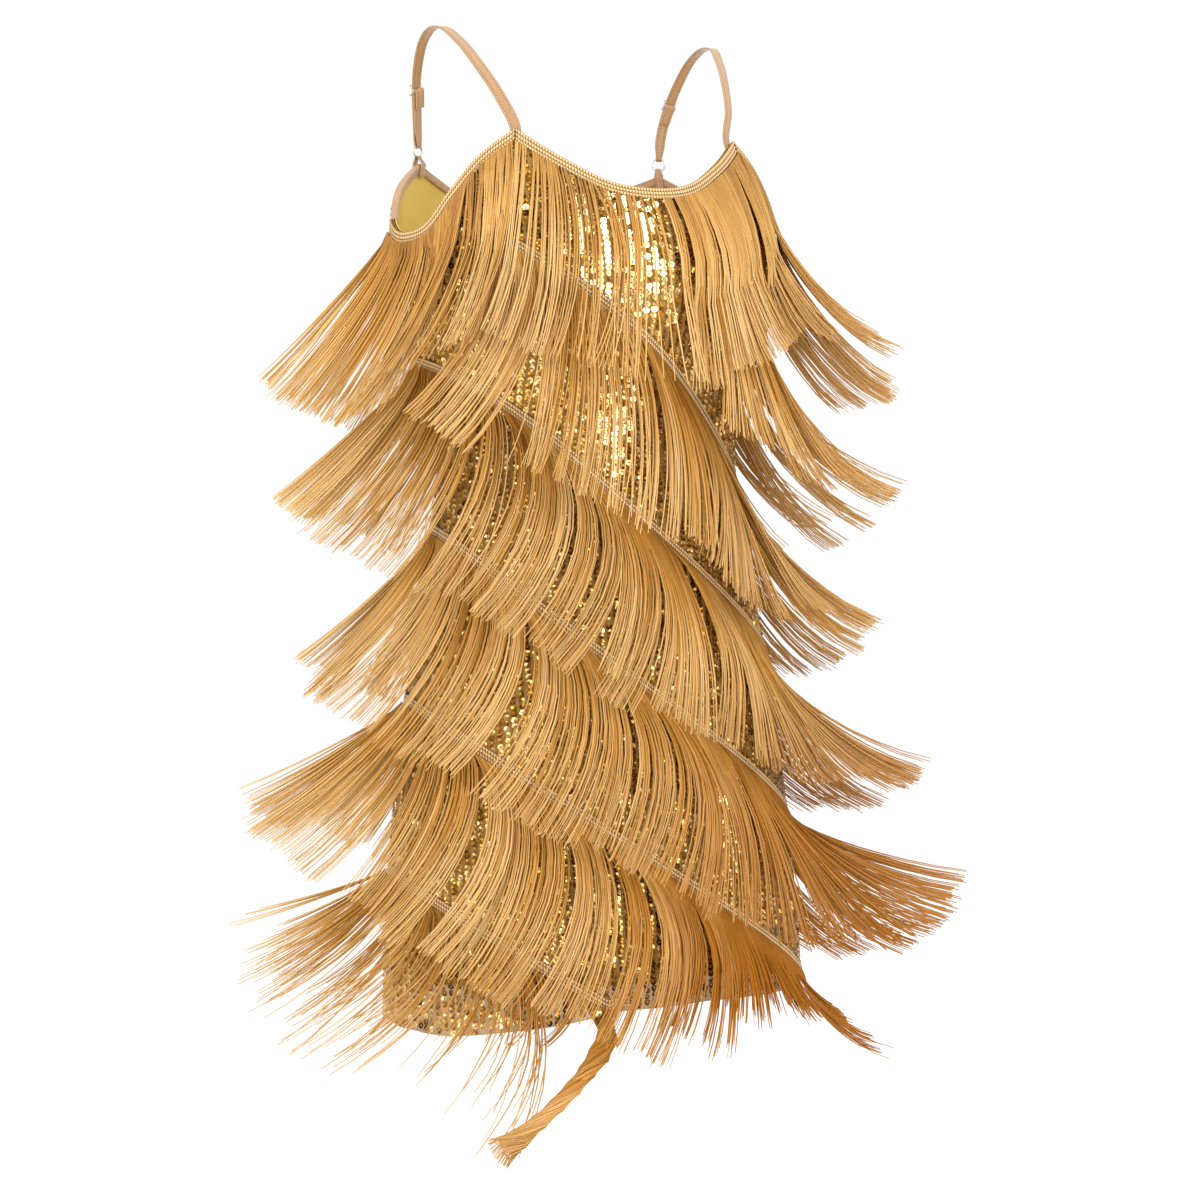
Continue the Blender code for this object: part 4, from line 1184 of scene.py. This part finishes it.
def add_ring_loop(side, mirror, material):
    """The loop from inside the back peak, up through the ring and down the peak's outer face."""
    centre, face, across, ahead, radius = ring_frame()
    turn_radius = RING_WIRE / 2 + WIRE_GAP + LOOP_THICK / 2
    half = BIND_WALL + LOOP_THICK / 2
    panel_way = unit(way_round(PEAK_TURN, PEAK_Z, 1))
    panel_way = panel_way if np.dot(panel_way, across) > 0 else -panel_way
    bottom = centre + ahead * (radius - BUNCH_SAG)

    def at_peak(drop, lift):
        return off_body(PEAK_TURN, PEAK_Z - drop, lift), panel_way, LOOP_WIDTH

    line = [at_peak(drop, LOOP_LIFTS[0] - half) for drop in LOOP_DROPS]
    for k in range(LOOP_STEPS + 1):
        angle = math.radians(-90 + 180 * k / LOOP_STEPS)
        around = face * math.sin(angle) - ahead * math.cos(angle)
        line.append((bottom + around * turn_radius, across, BUNCHED_WIDTH))
    line += [at_peak(drop, LOOP_LIFTS[1] + half) for drop in LOOP_DROPS[::-1]]
    add_band(f"ring_loop_{side}", line, LOOP_THICK, mirror, material)


def add_slider(side, frame, material):
    """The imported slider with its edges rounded."""
    mesh = frame["nodes"][f"slider_{side}"].data.copy()
    mesh.materials.clear()
    mesh.materials.append(material)
    thing = new_object(f"slider_{side}_round", mesh)
    thing.modifiers.new("weld", "WELD").merge_threshold = 0.02 * MM
    bevel = thing.modifiers.new("bevel", "BEVEL")
    bevel.width = SLIDER_ROUND * MM
    bevel.segments = 3
    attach(thing, "root")
    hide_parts(f"slider_{side}")


# Studio

def add_aimed(name, data, right, up, ahead, place):
    """A light or camera that stands at the place and looks ahead."""
    thing = new_object(name, data)
    columns = (right, up, -ahead, place)
    thing.matrix_world = Matrix([[float(c[k]) for c in columns] for k in range(3)] + [[0, 0, 0, 1]])
    return thing


def add_area_light(name, place, aim, size, power, colour):
    light = bpy.data.lights.new(name, "AREA")
    light.shape = "RECTANGLE"
    light.size, light.size_y = size
    light.energy = power
    light.color = colour
    ahead = unit(np.array(aim, float) - np.array(place, float))
    side = unit(np.cross(ahead, np.array((0, 0, 1))))
    add_aimed(name, light, side, np.cross(side, ahead), ahead, place)


def add_camera():
    yaw, pitch, roll = (math.radians(a) for a in (CAMERA_YAW, CAMERA_PITCH, CAMERA_ROLL))
    ahead = np.array((math.sin(yaw) * math.cos(pitch), math.cos(yaw) * math.cos(pitch), math.sin(pitch)))
    right = np.array((math.cos(yaw), -math.sin(yaw), 0))
    up = np.cross(right, ahead)
    right, up = right * math.cos(roll) - up * math.sin(roll), up * math.cos(roll) + right * math.sin(roll)
    data = bpy.data.cameras.new("camera")
    data.lens = CAMERA_LENS
    data.sensor_width = CAMERA_SENSOR
    data.clip_end = 100
    bpy.context.scene.camera = add_aimed("camera", data, right, up, ahead, CAMERA_PLACE)


def add_studio():
    bpy.ops.mesh.primitive_plane_add(size=FLOOR_SIZE, location=(0, 0, FLOOR_Z))
    floor = bpy.context.object
    floor.name = "floor"
    floor.data.materials.append(floor_material())
    world = bpy.data.worlds.new("studio")
    world.use_nodes = True
    background = world.node_tree.nodes["Background"]
    background.inputs["Color"].default_value = (1, 1, 1, 1)
    background.inputs["Strength"].default_value = WORLD_STRENGTH
    bpy.context.scene.world = world
    for light in LIGHTS:
        add_area_light(*light)
    bpy.context.scene.view_settings.view_transform = "Standard"


def main():
    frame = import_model()
    rng = np.random.default_rng(7)
    net, knit, sequin, elastic = net_material(), lining_material(), sequin_material(), elastic_material()
    fringe = {"strand": strand_material(), "braid": braid_material()}
    metal, plastic = metal_material(), plastic_material()

    for side, first in (("front", -90), ("back", 90)):
        strung = []
        for kind, hem, lift, wall, material, slot, on_it in (
            ("shell", hem_z, 0, NET_WALL, net, "sequin_cloth", strung),
            ("lining", lining_hem, LINING_LIFT, LINING_WALL, knit, "lining_knit", ()),
        ):
            name = f"{kind}_{side}"
            thing, flat, area = add_panel(name + "_cloth", first, hem, lift, wall, material)
            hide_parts(name)
        strung.append(add_sequins(f"sequins_{side}", first, sequin, rng))

    for seed, (node, base, first, last) in enumerate(SPIRAL_BRAIDS):
        add_fringe(node, Braid(first, last, spiral_height(base)), fringe, seed)
    neck, armhole = CORNER_TURN - NECK_CORNER_GAP, CORNER_TURN + ARMHOLE_CORNER_GAP
    end = BINDING_START - BACK_CORNER_GAP
    add_fringe("fringe_neckline", Braid(-neck, neck, top_z), fringe, 11)
    add_fringe("fringe_armhole_right", Braid(armhole, end, top_z), fringe, 12)
    add_fringe("fringe_armhole_left", Braid(-end, -armhole, top_z), fringe, 13)
    before, peak = PEAK_TURN - BACK_CORNER_GAP, PEAK_TURN + BACK_CORNER_GAP
    add_binding("binding_armhole_right", BINDING_START, before, elastic)
    add_binding("binding_back_neck", peak, 360 - peak, elastic)
    add_binding("binding_armhole_left", 360 - before, 360 - BINDING_START, elastic)
    for side, mirror in (("left", np.array((-1, 1, 1))), ("right", np.array((1, 1, 1)))):
        add_strap(side, mirror, elastic)
        add_slider(side, frame, plastic)
        add_ring(side, mirror, metal)
        add_ring_loop(side, mirror, elastic)

    add_camera()
    add_studio()


main()
